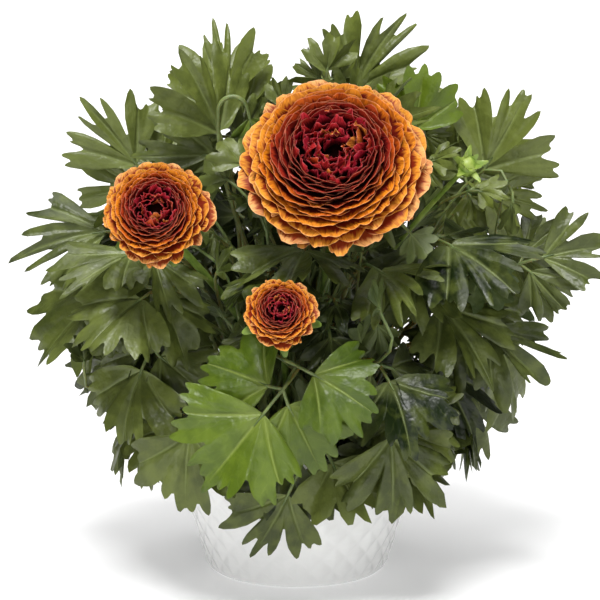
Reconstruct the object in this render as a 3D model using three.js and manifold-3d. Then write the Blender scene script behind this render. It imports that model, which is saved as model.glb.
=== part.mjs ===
// A potted Persian buttercup: a low white ceramic pot with a diamond-faceted wall, potting mix,
// three fully double blooms on their own stems, a young green bud and a dense dome of cut leaves.
// Units are millimetres, +Z is up, and the origin is the centre of the pot's underside.
// The front of the plant, where the blooms face, is towards -Y.
import * as THREE from "three";
import Module from "manifold-3d";

const wasm = await Module();
wasm.setup();

// Pot
const POT_HEIGHT = 70;
const POT_RIM_RADIUS = 64;
const POT_FOOT_RADIUS = 44;
const POT_WALL = 4;
const POT_FLOOR = 6;
const POT_EDGE = 2.5;
const RIM_ROUNDING = 1;
const DIAMOND_COLUMNS = 24;
const DIAMOND_ROWS = 10;

// Potting mix, and the crown of the plant where every stalk stands in its own hole
const SOIL_TOP = 61;
const SOIL_MOUND = 3;
const MOUND_SHOULDER = 0.62;
const GAP = 0.3;
const ROOT_DEPTH = 12;
const CROWN_SPACING = 4.1;
const CROWN_PLACES = 62;
const CROWN_INNER = 5;
const CROWN_OUTER = 30;
const LEAN_PER_MM = 0.016;

// Canopy: leaflets gather in a dome round this centre, a little less deep than wide
const CANOPY_CENTRE = [5, 2, 146];
const CANOPY_REACH = 139;
const CANOPY_SHAPE = [1, 0.86, 0.91];
const HIGHEST_RISE = 0.95;
const LOWEST_RISE = -0.68;
const LOWEST_LEAF = 9;
const BACK_FROM = 0.35;
const FRONDS_BY_RULE = 37;
const GOLDEN_ANGLE = 137.508;

// Leaves
const BLADE_THICKNESS = 0.8;
const PETIOLE_WIDTH = 2.6;
const STALK_WIDTH = 1.8;
const PETIOLE_STEPS = 3;
const LEAFLET_LENGTH = 46;
const MIDDLE_STALK = 13;
const SIDE_STALK = 7;
const SIDE_SHARE = 0.84;
const SIDE_ANGLE = 70;
const SIDE_FALL = 0.32;
const SIDE_TILT = 0.3;
const BRANCH_BELOW = 1.7;
const BRANCH_WIDTH = 1.4;
const SPREAD = 0.2;
const ATTEMPTS = 160;
const CLEARANCE = 0.25;

// Blooms. The first is the large one. Lengths along a bloom's axis and across it are shares of its
// radius, measured from the rim of its outermost petals.
const BLOOMS = [
  {
    name: "large",
    centre: [18, -90, 221],
    radius: 45,
    axis: [-0.04, -0.81, 0.59],
    whorls: 5,
    petals: 12,
    ragged: 7,
    stem: 4.6,
    seed: 1,
  },
  {
    name: "medium",
    centre: [-66, -100, 200],
    radius: 26,
    axis: [-0.06, -0.89, 0.45],
    whorls: 3,
    petals: 9,
    ragged: 5,
    stem: 3.8,
    seed: 2,
  },
  {
    name: "small",
    centre: [-7.5, -124, 157],
    radius: 17.6,
    axis: [0, -0.86, 0.5],
    whorls: 2,
    petals: 9,
    ragged: 6,
    stem: 3.2,
    seed: 3,
  },
];
const DOME_RISE = 0.6;
const INNERMOST_RIM = 0.47;
const OUTER_LEAN = 80;
const INNER_LEAN = 16;
const PETAL_TWIST = 0.2;
const PETAL_CUP = 0.4;
const PETAL_LENGTH = 0.42;
const PETAL_OVERLAP = 1.12;
const CORE_BASE = -0.24;
const CORE_TOP = 0.22;
const CORE_SIDES = 8;
const STEM_STEPS = 4;
const HOLE_SIDES = 4;

// The open side in front of each bloom, which no leaf enters
const SIGHT = [0, -0.978, 0.208];
const SIGHT_LENGTH = 90;

const DEG = Math.PI / 180;

// Vectors are plain three-number arrays.
const add = (a, b, s = 1) => [a[0] + b[0] * s, a[1] + b[1] * s, a[2] + b[2] * s];
const dot = (a, b) => a[0] * b[0] + a[1] * b[1] + a[2] * b[2];
const cross = (a, b) => [
  a[1] * b[2] - a[2] * b[1],
  a[2] * b[0] - a[0] * b[2],
  a[0] * b[1] - a[1] * b[0],
];
const unit = (a) => {
  const l = Math.hypot(...a);
  return [a[0] / l, a[1] / l, a[2] / l];
};
const square = (a, b) => unit(add(a, b, -dot(a, b)));
const mix = (a, b, t) => add(add([0, 0, 0], a, 1 - t), b, t);

// A repeatable draw between 0 and 1 for any number.
const chance = (n) => {
  const s = Math.sin(n * 12.9898 + 4.1414) * 43758.5453;
  return s - Math.floor(s);
};

// A closed mesh of points and outward-facing triangles as a solid.
function solid(points, triangles) {
  return new wasm.Manifold(
    new wasm.Mesh({
      numProp: 3,
      vertProperties: new Float32Array(points.flat()),
      triVerts: new Uint32Array(triangles.flat()),
    }),
  );
}

// Rings of equal count joined one after another and closed by a point at each end.
function skinOfRings(start, rings, end) {
  const count = rings[0].length;
  const points = [start, ...rings.flat(), end];
  const last = points.length - 1;
  const triangles = [];
  const at = (ring, i) => 1 + ring * count + (i % count);
  for (let i = 0; i < count; i++) {
    triangles.push([0, at(0, i + 1), at(0, i)]);
    for (let r = 0; r + 1 < rings.length; r++) {
      triangles.push([at(r, i), at(r, i + 1), at(r + 1, i)]);
      triangles.push([at(r, i + 1), at(r + 1, i + 1), at(r + 1, i)]);
    }
    triangles.push([last, at(rings.length - 1, i), at(rings.length - 1, i + 1)]);
  }
  return solid(points, triangles);
}

function ring(radius, z, turn, count = DIAMOND_COLUMNS) {
  return Array.from({ length: count }, (_, i) => {
    const a = ((i + turn) / count) * 2 * Math.PI;
    return [radius * Math.cos(a), radius * Math.sin(a), z];
  });
}

// Pot wall radius at a height. The wall leans out evenly and the foot edge is rounded under.
function potRadius(z) {
  return POT_FOOT_RADIUS + ((POT_RIM_RADIUS - POT_FOOT_RADIUS) * z) / POT_HEIGHT;
}

// Each row of corners is turned half a column against the one below, which makes the flat diamonds.
function makePot() {
  const rings = [ring(potRadius(0) - POT_EDGE, 0, 0)];
  for (let row = 0; row <= DIAMOND_ROWS; row++) {
    const z = POT_EDGE + ((POT_HEIGHT - 2 * POT_EDGE) * row) / DIAMOND_ROWS;
    rings.push(ring(potRadius(z), z, row / 2));
  }
  const turn = DIAMOND_ROWS / 2;
  const inner = (z) => potRadius(z) - POT_WALL;
  rings.push(ring(POT_RIM_RADIUS - RIM_ROUNDING, POT_HEIGHT, turn));
  rings.push(ring(inner(POT_HEIGHT) + RIM_ROUNDING, POT_HEIGHT, turn));
  rings.push(ring(inner(POT_HEIGHT - RIM_ROUNDING), POT_HEIGHT - RIM_ROUNDING, turn));
  rings.push(ring(inner(POT_FLOOR), POT_FLOOR, turn));
  return skinOfRings([0, 0, 0], rings, [0, 0, POT_FLOOR]);
}

// The potting mix fills the pot to just under its rim, slightly mounded.
function makeSoil(holes) {
  const turn = DIAMOND_ROWS / 2;
  const inside = (z) => potRadius(z) - POT_WALL - GAP;
  const base = POT_FLOOR + GAP;
  const rings = [
    ring(inside(base), base, turn),
    ring(inside(SOIL_TOP), SOIL_TOP, turn),
    ring(inside(SOIL_TOP) * MOUND_SHOULDER, SOIL_TOP + SOIL_MOUND * 0.7, turn),
  ];
  const block = skinOfRings([0, 0, base], rings, [0, 0, SOIL_TOP + SOIL_MOUND]);
  return block.subtract(wasm.Manifold.union(holes));
}

// Crown places on a sunflower spiral, where a stalk can stand. Each stalk takes the free place
// nearest to the side it leans to: upright stalks in the middle, spreading ones outside.
const crown = Array.from({ length: CROWN_PLACES }, (_, i) => {
  const r = CROWN_SPACING * Math.sqrt(i + 0.5);
  const a = i * GOLDEN_ANGLE * DEG;
  return [r * Math.sin(a), -r * Math.cos(a)];
});
const taken = new Set();
function takeCrownPlace(way) {
  const out = CROWN_INNER + (CROWN_OUTER - CROWN_INNER) * Math.min(1, (1 - way[2]) / 1.6);
  const flat = Math.hypot(way[0], way[1]) || 1;
  const wanted = [(out * way[0]) / flat, (out * way[1]) / flat];
  let best = -1;
  let nearest = Infinity;
  crown.forEach((p, i) => {
    const d = Math.hypot(p[0] - wanted[0], p[1] - wanted[1]);
    if (!taken.has(i) && d < nearest) [best, nearest] = [i, d];
  });
  taken.add(best);
  return crown[best];
}

// A place on the smooth curve from a to d that leaves a towards b and arrives at d from c.
function bezier(a, b, c, d, t) {
  const s = 1 - t;
  return [0, 1, 2].map(
    (i) =>
      s * s * s * a[i] + 3 * s * s * t * b[i] + 3 * s * t * t * c[i] + t * t * t * d[i],
  );
}

// A stalk's route: straight up out of the mix, then one smooth curve to its end.
function route(root, end, endWay, steps) {
  const foot = [root[0], root[1], SOIL_TOP - ROOT_DEPTH];
  const surface = [root[0], root[1], SOIL_TOP + SOIL_MOUND + 1];
  const span = Math.hypot(...add(end, surface, -1));
  const lean = unit([root[0] * LEAN_PER_MM, root[1] * LEAN_PER_MM, 1]);
  const b = add(surface, lean, span * 0.4);
  const c = add(end, endWay, -span * 0.32);
  const points = [foot, surface];
  for (let i = 1; i <= steps; i++) points.push(bezier(surface, b, c, end, i / steps));
  return points;
}

// Cross-section directions along a route, carried back from the direction across its end. The part
// of a rooted stalk that stands in the mix is upright.
function sections(points, across) {
  const rooted = points.length > 2;
  const result = new Array(points.length);
  let side = across;
  for (let i = points.length - 1; i >= 0; i--) {
    const a = points[Math.max(i - 1, 0)];
    const b = points[Math.min(i + 1, points.length - 1)];
    const way = rooted && i <= 1 ? [0, 0, 1] : unit(add(b, a, -1));
    side = square(side, way);
    result[i] = [side, cross(way, side)];
  }
  return result;
}

// Leaflet outlines, one half from the middle lobe's tip outwards: angle from the midrib in degrees
// and distance from the blade's base as a share of its length. The second entry is the cut between
// the middle lobe and a side lobe.
const OUTLINES = {
  broad: [[15, 0.93], [24, 0.64], [38, 0.95], [60, 0.82], [82, 0.28]],
  cut: [[12, 0.92], [19, 0.4], [32, 0.93], [50, 0.8], [74, 0.2]],
  lacy: [[10, 0.9], [17, 0.3], [29, 0.9], [45, 0.78], [66, 0.15]],
};
const SINUS = 1;
const MIDDLE_RIB = 0.52;

// The outline of one leaflet, each lobe a little different, from one side of the base to the other.
function leafletOutline(leaflet) {
  const half = OUTLINES[leaflet.kind];
  const point = (angle, radius, i) => {
    const a = (angle + (chance(leaflet.seed + i * 3.1) - 0.5) * 5) * DEG;
    const r = radius * leaflet.length * (1 + (chance(leaflet.seed + i * 5.7) - 0.5) * 0.14);
    return [r * Math.cos(a), r * Math.sin(a)];
  };
  const left = half.map(([a, r], i) => point(-a, r, i + 1)).reverse();
  const right = half.map(([a, r], i) => point(a, r, i + 21));
  return [...left, [leaflet.length, 0], ...right];
}

// A place on a leaflet: it arches down along its midrib and towards its side lobes, with a slow
// wave across.
function leafletPoint(leaflet, u, v, lift) {
  const l = leaflet.length;
  const wave = Math.sin((3.2 * v) / l + leaflet.seed) * 0.06 * u;
  const height = wave - (leaflet.droop * u * u) / l - (leaflet.spread * v * v) / l;
  const flat = add(add(leaflet.base, leaflet.midrib, u), leaflet.across, v);
  return add(flat, leaflet.normal, height + lift);
}

// A stalk of four-cornered section that opens out into a lobed blade, as one closed solid. On each
// face of the blade the middle lobe is a fan round the end of its rib, and a side lobe is a fan
// round the cut beside it. extra thickens the whole, to test how close it comes to its neighbours.
function leafletSolid(leaflet, extra = 0) {
  const { points, widths } = leaflet;
  const frames = sections(points, leaflet.across);
  const vertices = [];
  const triangles = [];
  const quad = (a, b, c, d) => triangles.push([a, b, c], [a, c, d]);
  const thin = BLADE_THICKNESS / 2 + extra;
  points.forEach((p, i) => {
    const last = i === points.length - 1;
    const [side, up] = last ? [leaflet.across, leaflet.normal] : frames[i];
    const w = widths[i] / 2 + extra;
    const t = last ? thin : w;
    for (const [s, n] of [[-1, -1], [1, -1], [1, 1], [-1, 1]])
      vertices.push(add(add(p, side, s * w), up, n * t));
    for (let e = 0; i && e < 4; e++) {
      const a = (i - 1) * 4 + e;
      const b = (i - 1) * 4 + ((e + 1) % 4);
      quad(a, b, b + 4, a + 4);
    }
  });
  quad(0, 3, 2, 1);
  const end = (points.length - 1) * 4;
  const outline = leafletOutline(leaflet);
  const first = vertices.length;
  const count = outline.length;
  const middle = (count - 1) / 2;
  const cutLeft = middle - 1 - SINUS;
  const cutRight = middle + 1 + SINUS;
  const rib = [MIDDLE_RIB * leaflet.length, 0];
  for (const lift of [thin, -thin])
    for (const [u, v] of [...outline, rib]) vertices.push(leafletPoint(leaflet, u, v, lift));
  const layer = count + 1;
  const corner = (i, under) => {
    if (i < 0) return end + (under ? 0 : 3);
    if (i >= count) return end + (under ? 1 : 2);
    return first + under * layer + i;
  };
  for (const under of [0, 1]) {
    const at = (i) => corner(i, under);
    const ribEnd = first + under * layer + count;
    const face = (a, b, c) => triangles.push(under ? [a, c, b] : [a, b, c]);
    for (let i = -1; i < cutLeft - 1; i++) face(at(cutLeft), at(i), at(i + 1));
    for (let i = cutLeft; i < cutRight; i++) face(ribEnd, at(i), at(i + 1));
    for (let i = cutRight + 1; i < count; i++) face(at(cutRight), at(i), at(i + 1));
    face(at(cutLeft), ribEnd, at(cutRight));
    face(at(-1), at(cutLeft), at(cutRight));
    face(at(-1), at(cutRight), at(count));
  }
  for (let i = -1; i < count; i++)
    quad(corner(i, 1), corner(i + 1, 1), corner(i + 1, 0), corner(i, 0));
  return solid(vertices, triangles);
}

// The three leaflets of one compound leaf. The middle one carries the whole petiole, the side ones
// branch off just below the fork on short stalks of their own. A simple leaf has the middle one alone.
function frondLeaflets(frond) {
  const { root, fork, midrib, normal, kind, size, seed, droop } = frond;
  const across = cross(normal, midrib);
  const shared = { kind, droop, spread: SPREAD };
  const petiole = route(root, fork, unit(add(midrib, normal, 0.25)), PETIOLE_STEPS);
  const up = unit(add(fork, petiole[petiole.length - 2], -1));
  const branch = add(fork, up, -BRANCH_BELOW);
  const leaflets = [-1, 0, 1].map((s) => {
    const turn = s * (SIDE_ANGLE + (chance(seed + s * 2.3) - 0.5) * 14) * DEG;
    const level = add(mix([0, 0, 0], midrib, Math.cos(turn)), across, Math.sin(turn));
    const way = unit(add(level, normal, s ? -SIDE_FALL : 0));
    const face = square(add(normal, across, s * SIDE_TILT), way);
    const stalk = s ? SIDE_STALK : MIDDLE_STALK;
    const base = add(fork, way, stalk * size);
    return {
      ...shared,
      base,
      midrib: way,
      normal: face,
      across: cross(face, way),
      length: LEAFLET_LENGTH * size * (s ? SIDE_SHARE : 1),
      seed: seed + s * 11.3,
      points: [branch, base],
      widths: [BRANCH_WIDTH, STALK_WIDTH],
    };
  });
  leaflets[1].points = [...petiole, leaflets[1].base];
  leaflets[1].widths = [...petiole.map(() => PETIOLE_WIDTH), STALK_WIDTH];
  return frond.simple ? [leaflets[1]] : leaflets;
}

// Where the leaf numbered i would stand on its try numbered k. It lies over the canopy like a tile:
// upright at the top, drooping at the sides, hanging at the bottom. Later tries stray further.
function planFrond(row, i, k) {
  const draw = (j) => chance(i * 31.7 + k * 7.3 + j * 1.9) - 0.5;
  const stray = 0.08 + k * 0.01;
  const way = unit(row.way.map((w, j) => w + draw(j) * stray * 2));
  const size = row.size * (1 - Math.min(k, 100) * 0.0045);
  const depth = row.depth + (draw(4) + 0.3) * Math.min(k, 80) * 0.5;
  const reach = CANOPY_REACH - depth - LEAFLET_LENGTH * size;
  const out = [0, 1, 2].map((j) => way[j] * reach * CANOPY_SHAPE[j]);
  const fork = add(CANOPY_CENTRE, out);
  const down = square([0, 0, -1], way);
  const hang = 0.08 + 0.46 * (1 - way[2]) + row.hang;
  const midrib = unit(add(add(way, down, hang), [draw(5), draw(6), draw(7)], 0.5));
  const front = way[1] < BACK_FROM || way[2] > 0.45 ? -0.95 : 0.5;
  const facing = add(add([0, front, 1], way, 0.5), [draw(8), draw(9), draw(10)], 0.7);
  const normal = square(facing, midrib);
  return { ...row, fork, midrib, normal, size, seed: i * 1.7 + k };
}

// Everything that stands already, as solids with their boxes.
const standing = [];
function boxesMeet(a, b) {
  return [0, 1, 2].every((j) => a.min[j] < b.max[j] && b.min[j] < a.max[j]);
}
function stand(made) {
  standing.push({ made, box: made.boundingBox() });
}
function isClear(made) {
  const box = made.boundingBox();
  if (box.min[2] < LOWEST_LEAF) return false;
  return standing.every((s) => !boxesMeet(s.box, box) || made.intersect(s.made).isEmpty());
}

// A stalk's plain four-sided hole in the potting mix.
function holeFor(root, width) {
  const corner = (width / 2) * Math.SQRT2 + GAP;
  const r = corner / Math.cos(Math.PI / HOLE_SIDES);
  const bottom = SOIL_TOP - ROOT_DEPTH - GAP;
  const top = SOIL_TOP + SOIL_MOUND + 1;
  const corners = [bottom, top].flatMap((z) =>
    ring(r, z, 0, HOLE_SIDES).map(([x, y]) => [root[0] + x, root[1] + y, z]),
  );
  const sides = [0, 1, 2, 3].flatMap((i) => {
    const j = (i + 1) % HOLE_SIDES;
    return [[i, j, j + HOLE_SIDES], [i, j + HOLE_SIDES, i + HOLE_SIDES]];
  });
  return solid(corners, [[0, 2, 1], [0, 3, 2], [4, 5, 6], [4, 6, 7], ...sides]);
}

// Blooms: a place in the bloom's own measure (its radius is 1, its axis the third number) in space.
function bloomFrame(bloom) {
  const axis = unit(bloom.axis);
  const top = square([0, 0, 1], axis);
  return { ...bloom, axis, top, side: cross(top, axis) };
}
function inBloom(b, [x, y, z]) {
  const r = b.radius;
  return add(add(add(b.centre, b.side, x * r), b.top, y * r), b.axis, z * r);
}

// A petal is a thin blade that rises from the core and ends in a rounded or pointed tip. It leans
// out from the axis and is twisted a little, so that one edge lies over its neighbour.
function petal(b, { rim, height, lean, angle, length, width, shoulder }) {
  const out = [Math.cos(angle), Math.sin(angle), 0];
  const round = [-Math.sin(angle), Math.cos(angle), 0];
  const along = add(mix([0, 0, 0], out, Math.sin(lean)), [0, 0, 1], Math.cos(lean));
  const inward = add(mix([0, 0, 0], out, -Math.cos(lean)), [0, 0, 1], Math.sin(lean));
  const across = add(mix([0, 0, 0], round, Math.cos(PETAL_TWIST)), inward, Math.sin(PETAL_TWIST));
  const tip = add(mix([0, 0, 0], out, rim), [0, 0, 1], height);
  const half = BLADE_THICKNESS / 2 / b.radius;
  const shape = [
    [-0.17, 0],
    [0.17, 0],
    [-0.5, shoulder],
    [0.5, shoulder],
    [0, 1],
  ];
  const points = [];
  for (const face of [1, -1])
    for (const [w, l] of shape) {
      const sideways = w * width;
      const cup = (PETAL_CUP * Math.cos(lean) * sideways * sideways) / rim;
      const level = add(add(tip, along, (l - 1) * length), across, sideways);
      points.push(inBloom(b, add(level, inward, cup + face * half)));
    }
  const faces = [[0, 3, 1], [0, 2, 3], [2, 4, 3]];
  const edge = [0, 1, 3, 4, 2];
  const back = shape.length;
  const triangles = [...faces];
  for (const [a, c, d] of faces) triangles.push([a + back, d + back, c + back]);
  edge.forEach((a, i) => {
    const c = edge[(i + 1) % edge.length];
    triangles.push([a, c, c + back], [a, c + back, a + back]);
  });
  return solid(points, triangles);
}

// A ring of petals, every one drawn a little different. shoulder is how far along its length a
// petal is widest: near the end for a round tip, lower down for a pointed one.
function whorl(b, { rim, height, lean, count, length, overlap, shoulder, seed }) {
  return Array.from({ length: count }, (_, i) => {
    const draw = (j) => chance(seed + i * 2.7 + j * 1.3) - 0.5;
    return petal(b, {
      rim: rim * (1 + draw(1) * 0.05),
      height: height + draw(2) * 0.03,
      lean: lean + draw(3) * 0.08,
      angle: ((i + draw(4) * 0.2) / count) * 2 * Math.PI + seed,
      length,
      width: ((2 * Math.PI * rim) / count) * overlap,
      shoulder,
    });
  });
}

// A turned body on a bloom's axis, from pairs of radius and height.
function bloomRings(b, rings, start, end) {
  const made = rings.map(([r, z]) => ring(r, z, 0, CORE_SIDES).map((q) => inBloom(b, q)));
  return skinOfRings(inBloom(b, [0, 0, start]), made, inBloom(b, [0, 0, end]));
}

// The rims of a bloom's petals lie on this low dome.
const domeHeight = (rim) => DOME_RISE * Math.pow(1 - rim * rim, 0.8);

// The outer petals stand in rings on a low core, flat outside and steeper towards the middle.
function outerPetals(b) {
  const profile = [[0.26, CORE_BASE], [0.72, -0.09], [0.5, 0.09], [0.34, CORE_TOP]];
  const core = bloomRings(b, profile, CORE_BASE, CORE_TOP);
  const parts = [core];
  for (let w = 0; w < b.whorls; w++) {
    const t = w / (b.whorls - 1);
    const rim = 1 - t * (1 - INNERMOST_RIM);
    parts.push(
      ...whorl(b, {
        rim,
        height: domeHeight(rim),
        lean: (OUTER_LEAN + (INNER_LEAN - OUTER_LEAN) * Math.pow(t, 0.8)) * DEG,
        count: b.petals - w,
        length: PETAL_LENGTH,
        overlap: PETAL_OVERLAP,
        shoulder: 0.86,
        seed: b.seed + w * 3.3,
      }),
    );
  }
  return wasm.Manifold.union(parts);
}

// The heart stands on the core: two rings of narrow ragged petals round a dark hollow.
const HEART_BASE = 0.09;
const HEART_RINGS = [
  { rim: 0.34, height: 0.56, lean: 14 * DEG, fewer: 0, overlap: 0.85, shoulder: 0.7 },
  { rim: 0.2, height: 0.53, lean: 4 * DEG, fewer: 3, overlap: 0.75, shoulder: 0.7 },
];
function heart(b) {
  const foot = CORE_TOP + GAP / b.radius;
  const rings = [[0.3, foot], [0.3, foot + HEART_BASE]];
  const parts = [bloomRings(b, rings, foot, foot + HEART_BASE)];
  HEART_RINGS.forEach((shape, w) => {
    const count = b.ragged - shape.fewer;
    const length = shape.height - foot - 0.01;
    parts.push(...whorl(b, { ...shape, count, length, seed: b.seed + 40 + w * 5.1 }));
  });
  return wasm.Manifold.union(parts);
}

// Under the petals: the receptacle with five sepals, on a stem that stands in the crown.
function bloomStem(b) {
  const seat = CORE_BASE - GAP / b.radius;
  const rings = [[0.14, seat - 0.14], [0.24, seat]];
  const parts = [bloomRings(b, rings, seat - 0.18, seat)];
  const sepal = { rim: 0.78, height: seat - 0.15, lean: 94 * DEG, count: 5, length: 0.68 };
  parts.push(...whorl(b, { ...sepal, overlap: 0.36, shoulder: 0.5, seed: b.seed + 9 }));
  const top = inBloom(b, [0, 0, seat - 0.06]);
  const points = route(b.root, top, b.axis, STEM_STEPS);
  parts.push(rod(points, b.stem, b.side));
  return wasm.Manifold.union(parts);
}

// A plain stalk of four-cornered section along a route.
function rod(points, width, across) {
  const frames = sections(points, across);
  const corners = [[-1, -1], [1, -1], [1, 1], [-1, 1]];
  const half = width / 2;
  const rings = points.map((p, i) =>
    corners.map(([s, n]) => add(add(p, frames[i][0], s * half), frames[i][1], n * half)),
  );
  const last = points.length - 1;
  return skinOfRings(points[0], rings, points[last]);
}

// The young bud: a small ball in five pointed bracts, on a bent stalk.
const BUD = { centre: [82, -52, 214], radius: 7, axis: [0.35, -0.75, 0.55], stem: 2.6, seed: 5 };
function makeBud(b) {
  const ball = [-0.45, 0.45].map((z) => [Math.sqrt(1 - z * z) * 0.9, z * 0.8]);
  const bracts = { rim: 1.5, height: 0.5, lean: 62 * DEG, count: 5, length: 1.5 };
  const parts = [
    bloomRings(b, ball, -0.75, 0.75),
    ...whorl(b, { ...bracts, overlap: 0.5, shoulder: 0.4, seed: b.seed }),
    rod(route(b.root, inBloom(b, [0, 0, -0.5]), b.axis, STEM_STEPS), b.stem, b.side),
  ];
  return wasm.Manifold.union(parts);
}

// The hooked young leaf: its stalk rises past the canopy and bends over, the blade hangs down.
const HOOK = { top: [-38, -44, 240], bend: 7, blade: 17, stem: 2.2 };
function hookedLeaf(root) {
  const across = [0, -1, 0];
  const rise = route(root, HOOK.top, [0.05, 0, 1], STEM_STEPS);
  const points = [...rise];
  for (const a of [50, 110, 170]) {
    const c = Math.cos(a * DEG);
    points.push(add(HOOK.top, [HOOK.bend * (1 - c), 0, HOOK.bend * Math.sin(a * DEG)]));
  }
  const midrib = unit([0.25, -0.1, -0.96]);
  const base = add(points[points.length - 1], midrib, 5);
  const normal = square([0.3, -1, 0.2], midrib);
  points.push(base);
  return {
    kind: "cut",
    droop: 0.1,
    spread: SPREAD,
    base,
    midrib,
    normal,
    across: cross(normal, midrib),
    length: HOOK.blade,
    seed: 77,
    points,
    widths: points.map((_, i) => (i < rise.length ? HOOK.stem : STALK_WIDTH)),
  };
}

// Leaves that stand out in front, placed one by one: the fork, the way the middle leaflet points
// and the side its upper face turns to.
const LEAVES_IN_FRONT = [
  {
    fork: [0, -84, 68],
    midrib: [-0.42, -0.06, -0.9],
    facing: [0, -1, 0.2],
    size: 0.8,
    kind: "cut",
    simple: true,
  },
  {
    fork: [-2, -112, 122],
    midrib: [-0.62, -0.2, -0.75],
    facing: [-0.1, -1, 0.4],
    size: 1.02,
    kind: "broad",
  },
  {
    fork: [6, -106, 118],
    midrib: [0.86, -0.3, -0.4],
    facing: [0, -0.9, 0.6],
    size: 0.8,
    kind: "broad",
    simple: true,
  },
  {
    fork: [52, -30, 222],
    midrib: [0.1, -0.1, 1],
    facing: [0.1, -1, 0.1],
    size: 0.7,
    kind: "broad",
    simple: true,
  },
  {
    fork: [-72, -22, 200],
    midrib: [-0.55, -0.1, 0.8],
    facing: [-0.2, -1, 0.5],
    size: 0.92,
    kind: "lacy",
  },
  {
    fork: [86, -14, 196],
    midrib: [0.5, -0.1, 0.8],
    facing: [0.2, -1, 0.5],
    size: 0.95,
    kind: "cut",
  },
  {
    fork: [-32, 4, 226],
    midrib: [-0.2, 0.1, 1],
    facing: [-0.1, -1, 0.3],
    size: 0.9,
    kind: "lacy",
  },
  {
    fork: [100, -22, 168],
    midrib: [1, -0.1, 0.3],
    facing: [0.2, -1, 0.6],
    size: 0.8,
    kind: "lacy",
  },
  {
    fork: [44, -88, 100],
    midrib: [0.1, -0.2, -1],
    facing: [0.1, -1, 0.3],
    size: 0.9,
    kind: "cut",
    simple: true,
  },
  {
    fork: [-50, -86, 100],
    midrib: [-0.15, -0.1, -1],
    facing: [-0.1, -1, 0.3],
    size: 0.85,
    kind: "broad",
    simple: true,
  },
];

// The rest of the canopy by rule: an even scatter over the dome from the top down. Every fourth
// leaf is a simple one a little way inside. The low ones and those on the left are broad.
function rowsByRule() {
  return Array.from({ length: FRONDS_BY_RULE }, (_, i) => {
    const t = i / (FRONDS_BY_RULE - 1);
    const z = HIGHEST_RISE + (LOWEST_RISE - HIGHEST_RISE) * t;
    const r = Math.sqrt(1 - z * z);
    const a = i * GOLDEN_ANGLE * DEG + 2.05;
    const way = [r * Math.sin(a), -r * Math.cos(a), z];
    const low = z < 0.15 && way[0] < 0.3;
    return {
      way,
      kind: low ? "broad" : i % 3 ? "cut" : "lacy",
      simple: i % 4 === 3,
      size: 0.96 + chance(i * 4.1) * 0.2,
      depth: i % 4 === 3 ? 18 : 0,
      hang: chance(i * 9.7) * 0.3 - 0.1,
      droop: 0.2 + chance(i * 6.3) * 0.2,
    };
  });
}

// Assembly
const group = new THREE.Group();
const holes = [];

// Adds a finished solid to the group as a named piece.
function place(name, made, [color, roughness]) {
  const mesh = made.getMesh();
  const geometry = new THREE.BufferGeometry();
  const positions = new Float32Array(mesh.numVert * 3);
  for (let i = 0; i < mesh.numVert; i++)
    positions.set(mesh.vertProperties.subarray(i * mesh.numProp, i * mesh.numProp + 3), i * 3);
  geometry.setAttribute("position", new THREE.BufferAttribute(positions, 3));
  geometry.setIndex(new THREE.BufferAttribute(new Uint32Array(mesh.triVerts), 1));
  geometry.computeVertexNormals();
  const material = new THREE.MeshStandardMaterial({ color, roughness, metalness: 0 });
  const node = new THREE.Mesh(geometry, material);
  node.name = name;
  group.add(node);
}

// Colour and roughness of each kind of piece
const LOOKS = {
  pot: [0xdddddb, 0.2],
  soil: [0x3a2c22, 0.95],
  petals: [0xdd7a2c, 0.5],
  heart: [0x6e1420, 0.5],
  stalk: [0x6f8a3e, 0.5],
  leaf: [0x4f6b34, 0.45],
};
const pot = makePot();
place("pot", pot, LOOKS.pot);
stand(pot);

// The mix is made last, once every stalk has its hole. Until then a block of it keeps the blades out.
stand(makeSoil([holeFor([0, 0], STALK_WIDTH)]));

// The blooms stand first, each with the open side in front of it kept clear.
const sights = [];
for (const raw of BLOOMS) {
  const b = bloomFrame(raw);
  b.root = takeCrownPlace(unit([b.centre[0], b.centre[1] * 0.7, 60]));
  const stem = bloomStem(b);
  const petals = outerPetals(b);
  const middle = heart(b);
  place(`bloom_${b.name}_stem`, stem, LOOKS.stalk);
  place(`bloom_${b.name}_petals`, petals, LOOKS.petals);
  place(`bloom_${b.name}_heart`, middle, LOOKS.heart);
  holes.push(holeFor(b.root, b.stem));
  [stem, petals, middle].forEach(stand);
  const sight = { ...b, axis: SIGHT, top: square([0, 0, 1], SIGHT) };
  sight.side = cross(sight.top, SIGHT);
  const end = SIGHT_LENGTH / b.radius;
  sights.push(bloomRings(sight, [[0.98, 0.05], [0.98, end]], 0.05, end));
}
sights.forEach(stand);

const bud = bloomFrame(BUD);
bud.root = takeCrownPlace(unit([bud.centre[0], bud.centre[1], 140]));
const budMade = makeBud(bud);
place("bud", budMade, LOOKS.stalk);
holes.push(holeFor(bud.root, bud.stem));
stand(budMade);

const hookRoot = takeCrownPlace(unit([HOOK.top[0], HOOK.top[1], 140]));
const hook = hookedLeaf(hookRoot);
const hookMade = leafletSolid(hook);
place("leaf_hooked", hookMade, LOOKS.leaf);
holes.push(holeFor(hookRoot, HOOK.stem));
stand(hookMade);

// A leaflet without the foot of its stalk that stands in the mix, thickened by the clearance.
function grownOutside(leaflet) {
  if (leaflet.points.length === 2) return leafletSolid(leaflet, CLEARANCE);
  const points = leaflet.points.slice(1);
  const widths = leaflet.widths.slice(1);
  return leafletSolid({ ...leaflet, points, widths }, CLEARANCE);
}

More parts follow.
